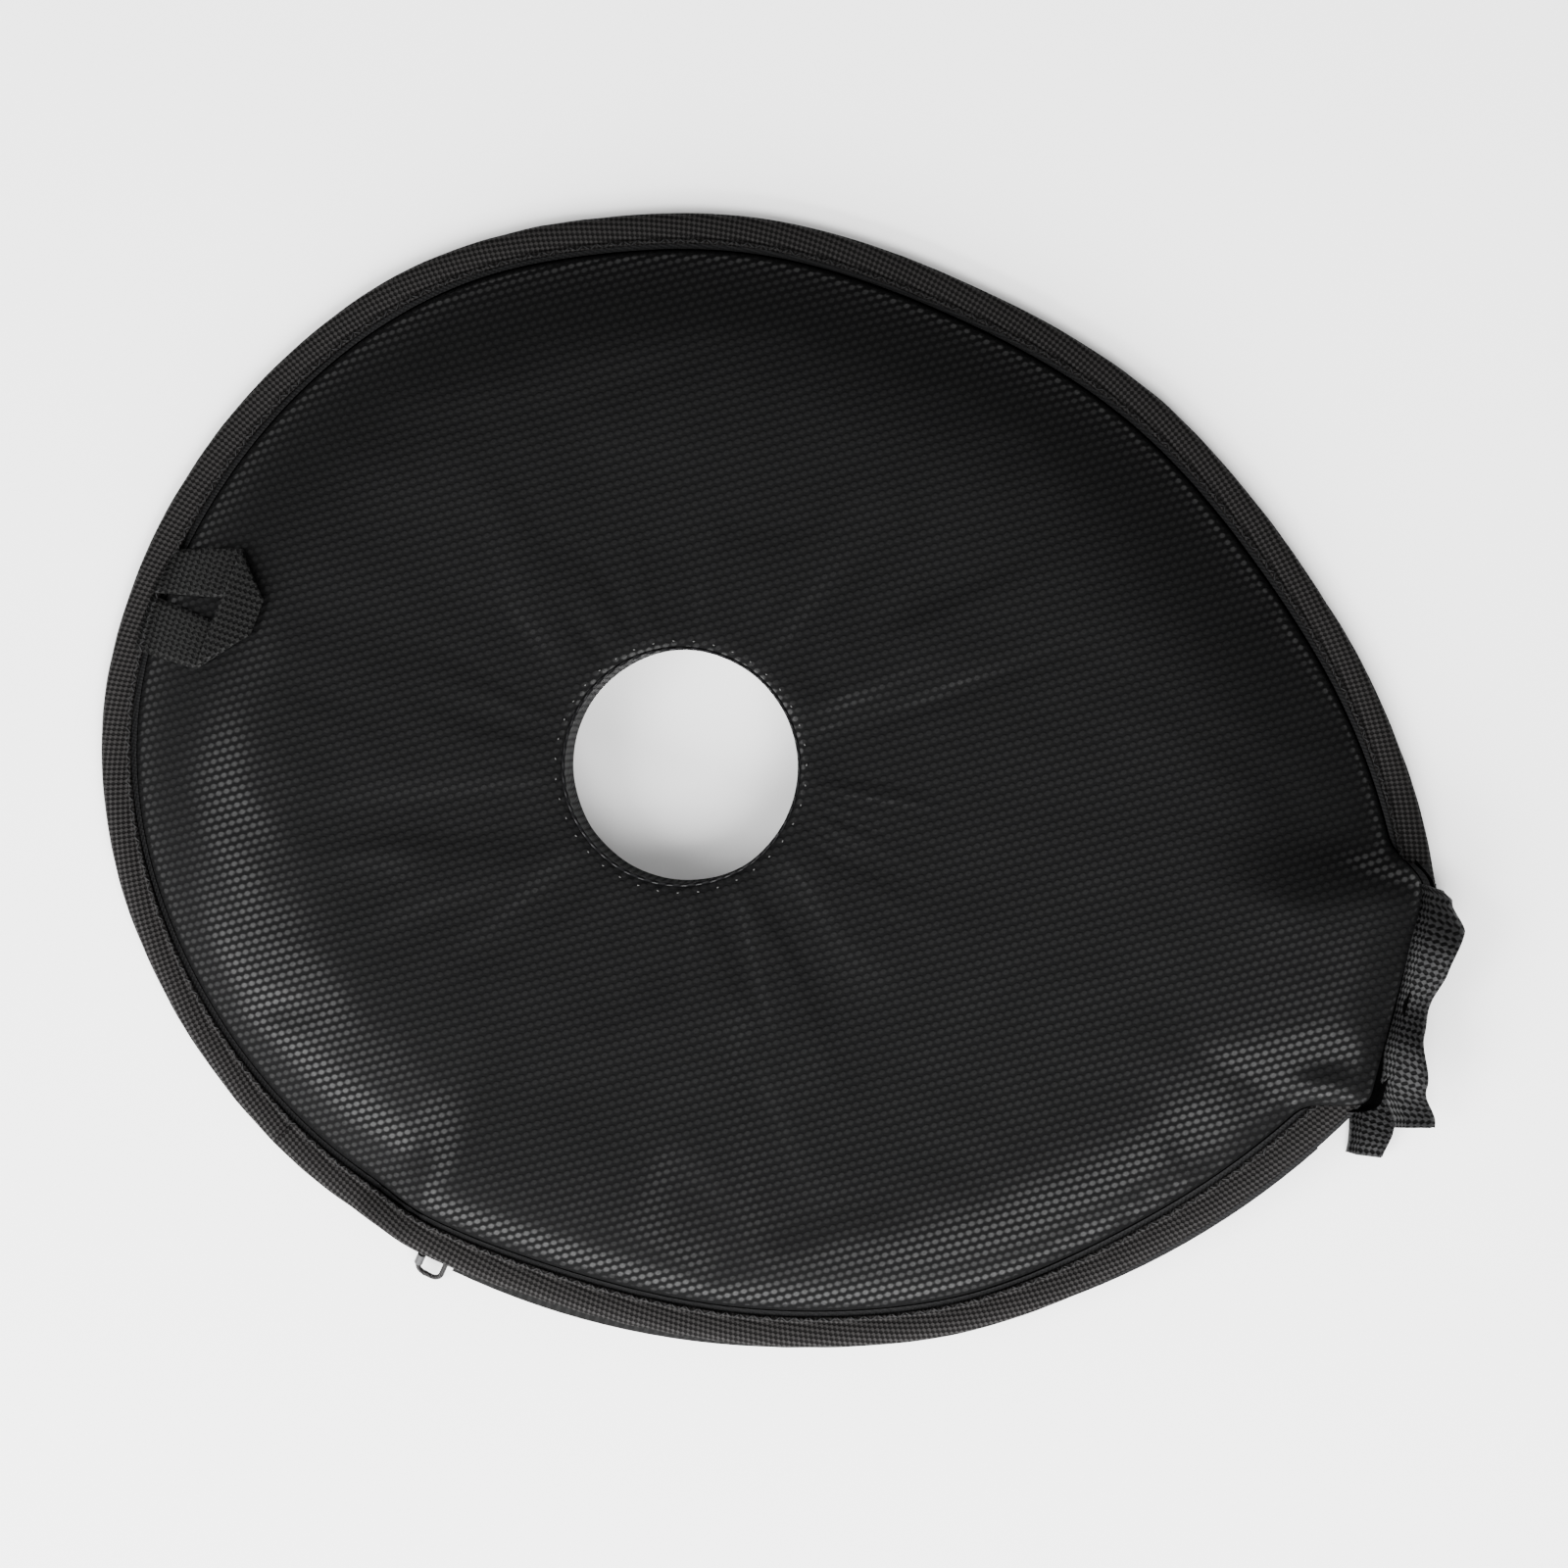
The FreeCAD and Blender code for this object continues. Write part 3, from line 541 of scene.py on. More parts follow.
def oxford_cloth(name, gap_colour, top_colour, on_cut=False):
    """Coated basket weave; only the tops of the floats carry the shiny coat."""
    finish = Finish(name, Specular_IOR_Level=0.014, Coat_Roughness=0.28)
    x, y = finish.cut() if on_cut else finish.place()[:2]
    floats = basket_weave(x, y)
    grain = finish.cloudy(1900, 2.0)
    patches = finish.cloudy(16, 3.0)
    raised = floats.ramp(-0.45, 0.55)
    finish.colour(gap_colour, top_colour, (raised * 0.6 + grain * 0.4) * (patches * 0.5 + 0.62))
    finish.roughness(0.66 - raised * 0.14 + patches * 0.1)
    finish.coat(raised * (raised * 0.6 + 0.4) * (grain * 0.22 + 0.1))
    finish.bump(raised + grain * 0.22, 0.00018, 1.0)
    return finish.material


# painted light: on the front cloth the gaps are made lighter than the float tops, standing in for the coat's
# reflection on the floats so the weave looks even where the cloth lies flat
front_cloth = oxford_cloth("oxford_cloth", (0.0036, 0.0036, 0.0037), (0.0026, 0.0026, 0.0027))
front_panel.data.materials.append(front_cloth)
# painted shade: the faces of the seam's groove get a near-black, uncoated cloth that stands in for the shadow
# deep in the groove
seam_shade = Finish("seam_shade", Specular_IOR_Level=0.0)
seam_grain = seam_shade.cloudy(900)
seam_shade.colour((0.0004, 0.0004, 0.0004), (0.0012, 0.0012, 0.0012), seam_grain)
seam_shade.roughness(0.8 + seam_grain * 0.15)
front_panel.data.materials.append(seam_shade.material)
for face in front_panel.data.polygons[:SEAM_ROWS * PANEL_COLUMNS]:
    face.material_index = 1


def bend_at_fold(piece):
    """Bake a piece's placement into its mesh."""
    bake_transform(piece)


bend_at_fold(front_panel)
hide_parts("front_cover_fixed", "front_cover_flap", "front_padding_fixed", "front_padding_flap")

# ---------------------------------------------------------------- linings and back panel
# The back panel is the same cloth over foam, flat on the table.  Both panels are lined with thin
# black nylon, sewn into the same edge seam and round the hole.

def sheet_rows(heights, first_inset, hole_radius, columns=192, field=26):
    """Rows of a flat or domed sheet from near the seam to the hole."""
    rows = []
    for step in range(field + 1):
        part = (step / field) ** 1.25
        row = []
        for column in range(columns):
            outer = on_outline(column / columns, first_inset * MM)
            inner = outer.normalized() * hole_radius * MM
            point = outer + (inner - outer) * part
            row.append((point.x, point.y, heights(point, inset_of(point))))
        rows.append(row)
    return rows


def back_cover_height(point, inset):
    sunk = smooth(8 * MM, 17 * MM, inset)
    return (1.1 - 1.0 * sunk) * MM + 0.12 * MM * (1 + noise.noise(Vector((point.x * 40, point.y * 40, 5.0))))


def back_lining_height(point, inset):
    ripple = noise.noise(Vector((point.x * 30, point.y * 30, 7.0)))
    return (2.7 + 1.7 * smooth(12 * MM, 24 * MM, inset)) * MM + 0.25 * MM * ripple


def front_lining_height(point, inset):
    ripple = noise.noise(Vector((point.x * 26, point.y * 26, 1.0)))
    return dome_height(point, inset, drop=4.6 * MM) + 0.3 * MM * ripple - 0.6 * MM


back_panel = build_grid("back_panel", list(reversed(sheet_rows(back_cover_height, 1.2, 33.4))))
back_panel.data.materials.append(front_cloth)
back_panel.modifiers.new("subdivide", "SUBSURF").render_levels = 1
back_panel.modifiers["subdivide"].levels = 1
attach(back_panel, "root")
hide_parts("back_cover", "back_padding")


def lining_cloth():
    finish = Finish("nylon_lining", Specular_IOR_Level=0.12)
    x, y = finish.place()[:2]
    count = 2 * math.pi / 0.9
    threads = (x * count).cos() * 0.5 + (y * count).cos() * 0.5
    worn = finish.cloudy(35)
    finish.colour((0.003, 0.003, 0.0032), (0.0085, 0.0085, 0.009), worn)
    finish.roughness(0.5 + worn * 0.15)
    finish.bump(threads * 0.4 + worn, 0.0002, 0.6)
    return finish.material


lining = lining_cloth()
back_lining = build_grid("back_lining_sheet", sheet_rows(back_lining_height, 1.2, 33.9))
back_lining.data.materials.append(lining)
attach(back_lining, "root")
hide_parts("back_lining")

front_lining = build_grid("front_lining_sheet", list(reversed(sheet_rows(front_lining_height, 1.2, 33.9))))
front_lining.data.materials.append(lining)
bend_at_fold(front_lining)
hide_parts("front_lining_fixed", "front_lining_flap")

# ---------------------------------------------------------------- hole sleeve
# A short tube of the same cloth, sewn between the two panels round the hole.

SLEEVE_ROWS = 14
SLEEVE_COLUMNS = 128
SLEEVE_RADIUS = 32.75
SLEEVE_FOOT = 0.3
SLEEVE_HEIGHT = 24.9
SLEEVE_WALL = 0.8


def sleeve_point(row, column, wall):
    turn = 2 * math.pi * column / SLEEVE_COLUMNS
    rise = row / (SLEEVE_ROWS - 1)
    ripple = noise.noise(Vector((math.cos(turn) * 3, math.sin(turn) * 3, rise * 2)))
    bulge = 0.35 * math.sin(math.pi * rise) + 0.18 * ripple
    radius = (SLEEVE_RADIUS + bulge + wall) * MM
    return (radius * math.cos(turn), radius * math.sin(turn), (SLEEVE_FOOT + SLEEVE_HEIGHT * rise) * MM)


def sleeve_cut(row, column):
    around = column * 2 * math.pi * 33 * MM / SLEEVE_COLUMNS
    return around, row * 1.9 * MM


sleeve_ring = [[sleeve_point(row, -column, 0) for column in range(SLEEVE_COLUMNS)]
               for row in range(SLEEVE_ROWS)]
sleeve_ring += [[sleeve_point(row, -column, SLEEVE_WALL) for column in range(SLEEVE_COLUMNS)]
                for row in reversed(range(SLEEVE_ROWS))]
sleeve = build_grid("hole_sleeve_tube", sleeve_ring, wrap_rows=True, uv_rows=sleeve_cut)
sleeve.data.materials.append(
    oxford_cloth("sleeve_cloth", (0.002, 0.002, 0.0022), (0.009, 0.009, 0.0095), on_cut=True))
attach(sleeve, "root")
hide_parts("hole_sleeve")

# ---------------------------------------------------------------- edge binding
# Woven polyester tape folded over the raw edge and sewn through.  Its inner edge is a raised
# selvedge.  One tape closes the seam; beside the zip each rim has a tape of its own.

# across the fold from the inner edge underneath, round the outside, to the selvedge on top:
# inset from the outline, and height as a share of the tape's half thickness
TAPE_SECTION = [
    (8.8, -0.86), (8.9, -1.0), (6.0, -1.04), (2.8, -1.02), (0.9, -0.84), (0.15, -0.45), (0.0, 0.0),
    (0.15, 0.45), (0.9, 0.84), (2.8, 1.02), (5.6, 1.0), (6.9, 0.9), (7.3, 0.84), (7.65, 1.14),
    (8.2, 1.28), (8.7, 1.16), (8.95, 0.86), (8.7, 0.62), (5.5, 0.6), (1.5, 0.4), (0.95, 0.0),
    (1.5, -0.4), (5.5, -0.6), (8.6, -0.66)]
TAPE_WIDTH = 9
MEAN_TAPE_HALF = 2.2


def tape_strip(name, first, last, middle, half, shift, steps):
    """Sweep the folded section along the outline.

    Middle and half give the tape's mid height and half thickness at a point of the edge, and shift
    how far it lies inwards in millimetres.
    """
    rows = []
    length = []
    run = 0.0
    for step in range(steps + 1):
        part = first + (last - first) * step / steps
        edge = on_outline(part, 0)
        here = Vector((edge.x, edge.y))
        if step:
            run += (here - before).length
        before = here
        length.append(run)
        wave = 0.28 * noise.noise(Vector((run * 34, 2.0, 0)))
        wave += 0.14 * noise.noise(Vector((run * 110, 5.0, 0)))
        row = []
        for inset, level in TAPE_SECTION:
            outer = 1 - inset / TAPE_WIDTH
            point = on_outline(part, (inset + shift(part) + wave * outer) * MM)
            lift = 0.1 * noise.noise(Vector((run * 60, inset * 0.3, 8.0)))
            row.append((point.x, point.y, middle(edge) + half(edge) * level + lift * MM))
        rows.append(row)
    across = [0.0]
    for (inset, level), (next_inset, next_level) in zip(TAPE_SECTION, TAPE_SECTION[1:] + TAPE_SECTION[:1]):
        rise = (next_level - level) * MEAN_TAPE_HALF
        across.append(across[-1] + math.hypot(next_inset - inset, rise) * MM)
    strip = build_grid(name, rows, uv_rows=lambda row, column: (length[row], across[column]))
    close_ends(strip)
    return strip


def close_ends(piece):
    """Cap the two open ends of a swept section, and make every face look outwards."""
    shape = bmesh.new()
    shape.from_mesh(piece.data)
    bmesh.ops.holes_fill(shape, edges=[edge for edge in shape.edges if edge.is_boundary])
    bmesh.ops.recalc_face_normals(shape, faces=shape.faces)
    shape.to_mesh(piece.data)
    shape.free()
    piece.data.polygons.foreach_set("use_smooth", [True] * len(piece.data.polygons))


def binding_tape():
    finish = Finish("ribbed_tape", Specular_IOR_Level=0.04, Coat_Roughness=0.42)
    along, across = finish.cut()
    uneven = finish.cloudy(60)
    fuzz = finish.cloudy(2400, 1.0)
    wefts = (along * (2 * math.pi / 1.45)).cos()
    warps = (across * (2 * math.pi / 1.5) + along * 0.5).cos()
    threads = (wefts * 0.5 + warps * 0.5).ramp(-0.55, 0.5)
    light = threads * 0.75 + uneven * 0.15 + fuzz * 0.1
    finish.colour((0.0014, 0.0013, 0.0013), (0.0140, 0.0131, 0.0128), light)
    finish.roughness(0.7 - threads * 0.2)
    finish.coat(threads * threads * 0.075)
    finish.bump(threads + fuzz * 0.3, 0.00035, 1.0)
    return finish.material


tape = binding_tape()
CLOSED_TAPE_HALF = 2.5 * MM
OPEN_TAPE_HALF = 2.0 * MM
closed_binding = tape_strip("edge_binding_tape", MOUTH_END - 0.0005, 1.006, lambda edge: 2.6 * MM,
                            lambda edge: CLOSED_TAPE_HALF, lambda part: 0.0, 620)
closed_binding.data.materials.append(tape)
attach(closed_binding, "root")
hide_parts("edge_binding")


def front_tape_middle(edge):
    return rim_height(edge) - 1.5 * MM + 0.8 * MM * (1 - openness(edge))


front_binding = tape_strip("zip_binding_front_tape", -0.035, ZIP_SIDE_END * 0.998, front_tape_middle,
                           lambda edge: OPEN_TAPE_HALF, front_tape_shift, 400)
front_binding.data.materials.append(tape)
bend_at_fold(front_binding)
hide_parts("zip_binding_front")

back_binding = tape_strip("zip_binding_back_tape", 0.0, ZIP_SIDE_END * 0.985, lambda edge: 2.1 * MM,
                          lambda edge: OPEN_TAPE_HALF, lambda part: 0.0, 360)
back_binding.data.materials.append(tape)
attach(back_binding, "root")
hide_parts("zip_binding_back")

# ---------------------------------------------------------------- stitching
# Thick black thread: a zigzag row down the selvedge of each binding, and a plain row round the
# hole that holds the panel to the sleeve, its thread painted pale as a painted highlight for its
# glints.  Every stitch is a short swollen loop of thread.

def new_tree(name, inputs):
    """An empty geometry tree with named inputs and one geometry in and out."""
    tree = bpy.data.node_groups.new(name, "GeometryNodeTree")
    tree.interface.new_socket("Geometry", in_out="INPUT", socket_type="NodeSocketGeometry")
    tree.interface.new_socket("Geometry", in_out="OUTPUT", socket_type="NodeSocketGeometry")
    for label, kind in inputs:
        tree.interface.new_socket(label, in_out="INPUT", socket_type=f"NodeSocket{kind}")
    return tree


def add(tree, kind, settings=None, **links):
    """A node with its settings, and its inputs linked or set by name (underscores stand for spaces)."""
    node = tree.nodes.new(kind)
    for name, setting in (settings or {}).items():
        setattr(node, name, setting)
    for name, source in links.items():
        socket = node.inputs[name.replace("_", " ")]
        if isinstance(source, bpy.types.NodeSocket):
            tree.links.new(source, socket)
        else:
            socket.default_value = source
    return node


def finish_tree(tree, group_input, geometry):
    real = add(tree, "GeometryNodeRealizeInstances", Geometry=geometry)
    coloured = add(tree, "GeometryNodeSetMaterial", Geometry=real.outputs[0],
                   Material=group_input.outputs["Material"])
    smoothed = add(tree, "GeometryNodeSetShadeSmooth", Geometry=coloured.outputs[0])
    out = tree.nodes.new("NodeGroupOutput")
    tree.links.new(smoothed.outputs[0], out.inputs[0])


def stitch_tree():
    tree = new_tree("stitch_row", [("Pitch", "Float"), ("Length", "Float"), ("Thread", "Float"),
                                   ("Slant", "Float"), ("Material", "Material")])
    given = tree.nodes.new("NodeGroupInput")
    path = add(tree, "GeometryNodeMeshToCurve", Mesh=given.outputs["Geometry"])
    places = add(tree, "GeometryNodeResampleCurve", {"mode": "LENGTH"}, Curve=path.outputs[0],
                 Length=given.outputs["Pitch"])
    stitch = add(tree, "GeometryNodeMeshUVSphere", Segments=8, Rings=6, Radius=0.5)
    shape = add(tree, "ShaderNodeCombineXYZ", X=given.outputs["Length"], Y=given.outputs["Thread"],
                Z=given.outputs["Thread"])
    tangent = tree.nodes.new("GeometryNodeInputTangent")
    aligned = add(tree, "FunctionNodeAlignRotationToVector", {"axis": "X"}, Vector=tangent.outputs[0])
    index = tree.nodes.new("GeometryNodeInputIndex")
    parity = add(tree, "ShaderNodeMath", {"operation": "PINGPONG"})
    tree.links.new(index.outputs[0], parity.inputs[0])
    parity.inputs[1].default_value = 1.0
    sign = add(tree, "ShaderNodeMath", {"operation": "MULTIPLY_ADD"})
    tree.links.new(parity.outputs[0], sign.inputs[0])
    sign.inputs[1].default_value = 2.0
    sign.inputs[2].default_value = -1.0
    slant = add(tree, "ShaderNodeMath", {"operation": "MULTIPLY"})
    tree.links.new(sign.outputs[0], slant.inputs[0])
    tree.links.new(given.outputs["Slant"], slant.inputs[1])
    swing = add(tree, "FunctionNodeAxisAngleToRotation", Axis=(0, 0, 1))
    tree.links.new(slant.outputs[0], swing.inputs["Angle"])
    turned = add(tree, "FunctionNodeRotateRotation", {"rotation_space": "LOCAL"}, Rotation=aligned.outputs[0])
    tree.links.new(swing.outputs[0], turned.inputs["Rotate By"])
    rows = add(tree, "GeometryNodeInstanceOnPoints", Points=places.outputs[0], Instance=stitch.outputs[0],
               Rotation=turned.outputs[0], Scale=shape.outputs[0])
    finish_tree(tree, given, rows.outputs[0])
    return tree


def grow(name, tree, points, closed, **sizes):
    """Run a tree along a path of points, and keep the result as a plain mesh."""
    mesh = bpy.data.meshes.new(name + "_path")
    count = len(points)
    edges = [(index, index + 1) for index in range(count - 1)]
    if closed:
        edges.append((count - 1, 0))
    mesh.from_pydata([tuple(point) for point in points], edges, [])
    guide = bpy.data.objects.new(name + "_path", mesh)
    bpy.context.collection.objects.link(guide)
    modifier = guide.modifiers.new("grow", "NODES")
    modifier.node_group = tree
    for socket in tree.interface.items_tree:
        if socket.in_out == "INPUT" and socket.name in sizes:
            modifier[socket.identifier] = sizes[socket.name]
    grown = bpy.data.meshes.new_from_object(guide.evaluated_get(bpy.context.evaluated_depsgraph_get()))
    bpy.data.objects.remove(guide)
    piece = bpy.data.objects.new(name, grown)
    bpy.context.collection.objects.link(piece)
    return piece


def thread_finish(name, gloss, dark, light):
    finish = Finish(name, Specular_IOR_Level=gloss)
    twist = finish.cloudy(1500)
    finish.colour(dark, light, twist)
    finish.roughness(0.5 + twist * 0.2)
    return finish.material


black_thread = thread_finish("black_thread", 0.15, (0.003, 0.003, 0.003), (0.012, 0.012, 0.0125))
# painted highlight: the hole row's thread is made pale to stand in for the glints on its black thread
glint_painted_thread = thread_finish("glint_painted_thread", 0.4, (0.012, 0.012, 0.012), (0.07, 0.07, 0.068))
stitches = stitch_tree()


def selvedge_path(first, last, middle, half, shift, steps):
    path = []
    for step in range(steps + 1):
        part = first + (last - first) * step / steps
        point = on_outline(part, (8.2 + shift(part)) * MM)
        edge = on_outline(part, 0)
        path.append((point.x, point.y, middle(edge) + half(edge) * 1.28 + 0.08 * MM))
    return path


def stitch_row(name, path, closed=False, pitch=1.95, length=2.3, thread=0.42, slant=0.6, material=None):
    return grow(name, stitches, path, closed, Pitch=pitch * MM, Length=length * MM, Thread=thread * MM,
                Slant=slant, Material=material or black_thread)


closed_stitches = stitch_row("edge_binding_stitches", selvedge_path(
    MOUTH_END + 0.008, 0.965, lambda edge: 2.6 * MM, lambda edge: CLOSED_TAPE_HALF, lambda part: 0.0, 400))
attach(closed_stitches, "root")
front_stitches = stitch_row("zip_binding_front_stitches", selvedge_path(
    -0.03, ZIP_SIDE_END * 0.98, front_tape_middle, lambda edge: OPEN_TAPE_HALF, front_tape_shift, 300))
bend_at_fold(front_stitches)
back_stitches = stitch_row("zip_binding_back_stitches", selvedge_path(
    0.01, ZIP_SIDE_END * 0.98, lambda edge: 2.1 * MM, lambda edge: OPEN_TAPE_HALF, lambda part: 0.0, 300))
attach(back_stitches, "root")

HOLE_STITCH_RADIUS = 35.3 * MM
HOLE_STITCH_Z = 25.6 * MM
HOLE_PATH_POINTS = 180
hole_path = []
for step in range(HOLE_PATH_POINTS):
    turn = 2 * math.pi * step / HOLE_PATH_POINTS
    hole_path.append((HOLE_STITCH_RADIUS * math.cos(turn), HOLE_STITCH_RADIUS * math.sin(turn),
                      HOLE_STITCH_Z))
# the hole row uses the pale thread, a painted highlight for the glints on black thread
hole_stitches = stitch_row("hole_stitches", hole_path, closed=True, pitch=5.8, length=0.75, thread=0.4,
                           slant=0.3, material=glint_painted_thread)
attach(hole_stitches, "root")

# ---------------------------------------------------------------- mouth webbing
# Heavier ribbed webbing folded over the front and back rims of the mouth.  It is a little too long,
# so the front one waves, and both have a loose cut end past the lower corner.

# across the fold from the seam on top, round the outside and back underneath, then inside the fold:
# share of the way outwards, and height as a share of the half thickness
WEBBING_SECTION = [
    (0.0, -0.2), (0.06, 0.6), (0.3, 1.04), (0.8, 0.95), (0.95, 0.6), (1.0, 0.0), (0.95, -0.6),
    (0.8, -0.95), (0.4, -1.04), (0.0, -1.0), (0.0, -0.55), (0.5, -0.5), (0.82, -0.4), (0.86, 0.0),
    (0.82, 0.4), (0.5, 0.5)]
# the same stations measured across the flat webbing, in millimetres
WEBBING_ACROSS = [0, 0, 5, 10, 11.6, 12.4, 13.2, 14.8, 19.8, 24.8, 24.8, 19.8, 14.8, 12.4, 10, 5, 0]


def between(stations, place):
    """A smooth curve through a few stations: pairs of place and value, places falling."""
    for (first, start), (last, end) in zip(stations, stations[1:]):
        if first >= place >= last:
            step = (first - place) / (first - last)
            return start + (end - start) * smooth(0.0, 1.0, step)
    return stations[0][1] if place > stations[0][0] else stations[-1][1]


def rim_webbing(name, high_y, low_y, inner, outer, middle, seam, half, end_lean, steps=150):
    """Sweep the fold down a mouth rim, from high y to low y, in millimetres.

    Inner, outer and middle are stations of the sewn edge, the folded edge and the mid height.  Seam is
    the height at the sewn edge, and end_lean skews the cut end.
    """
    rows = []
    for step in range(steps + 1):
        y = high_y + (low_y - high_y) * step / steps
        row = []
        for share, level in WEBBING_SECTION:
            x = between(inner, y) + (between(outer, y) - between(inner, y)) * share
            lean = end_lean * share * smooth(low_y + 14, low_y, y)
            fray = 0.35 * noise.noise(Vector((x * 1.7, 3.0, level))) * smooth(low_y + 1.5, low_y, y)
            free = 0.3 + 0.7 * share
            z = seam + (between(middle, y) - seam) * free + level * half
            z += 0.12 * noise.noise(Vector((x * 0.5, y * 0.5, 1.0)))
            row.append((x * MM, (y + lean + fray) * MM, max(z, 0.05) * MM))
        rows.append(row)
    strip = build_grid(name, rows, uv_rows=lambda row, column: (
        (high_y - low_y) * row / steps * MM, WEBBING_ACROSS[column] * MM))
    close_ends(strip)
    return strip


def webbing_weave(name, dark, light, shine):
    finish = Finish(name, Specular_IOR_Level=0.03, Coat_Roughness=0.38)
    along, across = finish.cut()
    fuzz = finish.cloudy(2200, 1.0)
    ribs = (along * (2 * math.pi / 1.85)).cos()
    steps = (across * (2 * math.pi / 1.6) + (along * (math.pi / 1.85)).cos() * 1.2).cos()
    threads = (ribs * 0.52 + steps * 0.48).ramp(-0.5, 0.35)
    finish.colour(dark, light, threads * 0.9 + fuzz * 0.1)
    finish.roughness(0.62 - threads * 0.2)
    finish.coat(threads * threads * shine)
    finish.bump(threads + fuzz * 0.25, 0.0005, 1.0)
    return finish.material


webbing = webbing_weave("ribbed_webbing", (0.0004, 0.0004, 0.0004), (0.0135, 0.0135, 0.0138), shine=0.11)
front_webbing = rim_webbing(
    "mouth_webbing_front_strip", 31.0, -36.5,
    inner=[(31, 206.5), (29, 207.6), (-15, 210.8), (-24, 212.5), (-37, 220.5)],
    outer=[(31, 214.0), (29, 217.2), (21.5, 222.8), (10, 221.6), (-1, 219.9), (-9, 220.8), (-23, 226.0),
           (-37, 232.0)],
    middle=[(31, 10.5), (15, 20.0), (-3, 13.6), (-14, 18.8), (-37, 9.5)],
    seam=16.2, half=1.5, end_lean=3.2)
front_webbing.data.materials.append(webbing)
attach(front_webbing, "front_flap")
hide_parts("mouth_webbing_front")
back_webbing = rim_webbing(
    "mouth_webbing_back_strip", 32.0, -48.0,
    inner=[(32, 206.0), (-28, 206.5), (-48, 210.7)],
    outer=[(32, 212.0), (26, 216.5), (10, 218.0), (-20, 218.6), (-40, 221.8), (-48, 221.0)],
    middle=[(32, 2.4), (0, 2.0), (-30, 2.3), (-44, 3.4), (-48, 3.0)],
    seam=2.2, half=1.6, end_lean=1.8)
back_webbing.data.materials.append(webbing)
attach(back_webbing, "root")
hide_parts("mouth_webbing_back")

# ---------------------------------------------------------------- zip
# A nylon coil zip on herringbone tape, open as far as it goes.  The painted slider waits at the
# round end and a thin wire loop is its pull.

def zip_tape_weave():
    finish = Finish("zip_tape_weave", Specular_IOR_Level=0.12)
    x, _, z = finish.place()
    worn = finish.cloudy(80)
    bones = (z * (2 * math.pi / 0.7) + (x * 2.2).sin() * 2.0).cos()
    finish.colour((0.003, 0.003, 0.003), (0.011, 0.011, 0.011), bones * 0.3 + worn * 0.6)
    finish.roughness(0.7 - worn * 0.1)
    finish.bump(bones * 0.5 + worn, 0.0002, 0.8)
    return finish.material


def coil_nylon():
    finish = Finish("coil_nylon", Specular_IOR_Level=0.5)
    worn = finish.cloudy(300)
    finish.colour((0.006, 0.006, 0.006), (0.03, 0.03, 0.032), worn)
    finish.roughness(0.3 + worn * 0.15)
    return finish.material


def painted_zinc():
    finish = Finish("painted_zinc", Metallic=0.2, Specular_IOR_Level=0.5)
    worn = finish.cloudy(900)
    finish.colour((0.008, 0.008, 0.009), (0.05, 0.05, 0.052), worn.ramp(0.62, 0.75))
    finish.roughness(0.34 + worn * 0.2)
    finish.bump(worn, 0.00005, 0.5)
    return finish.material


def coated_wire():
    finish = Finish("coated_wire", Specular_IOR_Level=0.2)
    x, y, z = finish.place()
    lay = ((x + y) * 5.5 + z * 2).sin()
    finish.colour((0.002, 0.0018, 0.0018), (0.007, 0.006, 0.006), lay * 0.4 + 0.4)
    finish.roughness(0.6 - lay * 0.1)
    finish.bump(lay, 0.0001, 0.7)
    return finish.material


def coil_tree():
    tree = new_tree("zip_coil", [("Pitch", "Float"), ("Loop", "Float"), ("Strand", "Float"),
                                 ("Material", "Material")])
    given = tree.nodes.new("NodeGroupInput")
    path = add(tree, "GeometryNodeMeshToCurve", Mesh=given.outputs["Geometry"])
    places = add(tree, "GeometryNodeResampleCurve", {"mode": "LENGTH"}, Curve=path.outputs[0],
                 Length=given.outputs["Pitch"])
    loop = add(tree, "GeometryNodeCurvePrimitiveCircle", Resolution=9, Radius=given.outputs["Loop"])
    strand = add(tree, "GeometryNodeCurvePrimitiveCircle", Resolution=5, Radius=given.outputs["Strand"])
    tooth = add(tree, "GeometryNodeCurveToMesh", Curve=loop.outputs[0])
    tree.links.new(strand.outputs[0], tooth.inputs["Profile Curve"])
    tangent = tree.nodes.new("GeometryNodeInputTangent")
    aligned = add(tree, "FunctionNodeAlignRotationToVector", {"axis": "Z"}, Vector=tangent.outputs[0])
    teeth = add(tree, "GeometryNodeInstanceOnPoints", Points=places.outputs[0], Instance=tooth.outputs[0],
                Rotation=aligned.outputs[0])
    finish_tree(tree, given, teeth.outputs[0])
    return tree


def paint_node(node, material):
    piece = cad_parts[node]
    for slot in piece.material_slots:
        slot.material = material


tape_weave = zip_tape_weave()
zinc = painted_zinc()
wire = coated_wire()
for node in ("zip_tape_front", "zip_tape_back"):
    paint_node(node, tape_weave)
for node in ("slider_body", "bottom_stop", "top_stop_front", "top_stop_back"):
    paint_node(node, zinc)
WIRE_COAT = 0.25 * MM
pull_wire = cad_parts["pull_loop"].copy()
pull_wire.data = pull_wire.data.copy()
pull_wire.name = "pull_wire"
bpy.context.collection.objects.link(pull_wire)
for vertex in pull_wire.data.vertices:
    vertex.co += vertex.normal * WIRE_COAT
pull_wire.data.materials.clear()
pull_wire.data.materials.append(wire)
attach(pull_wire, "pull")
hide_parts("pull_loop")
paint_node("pull_crimp", zinc)

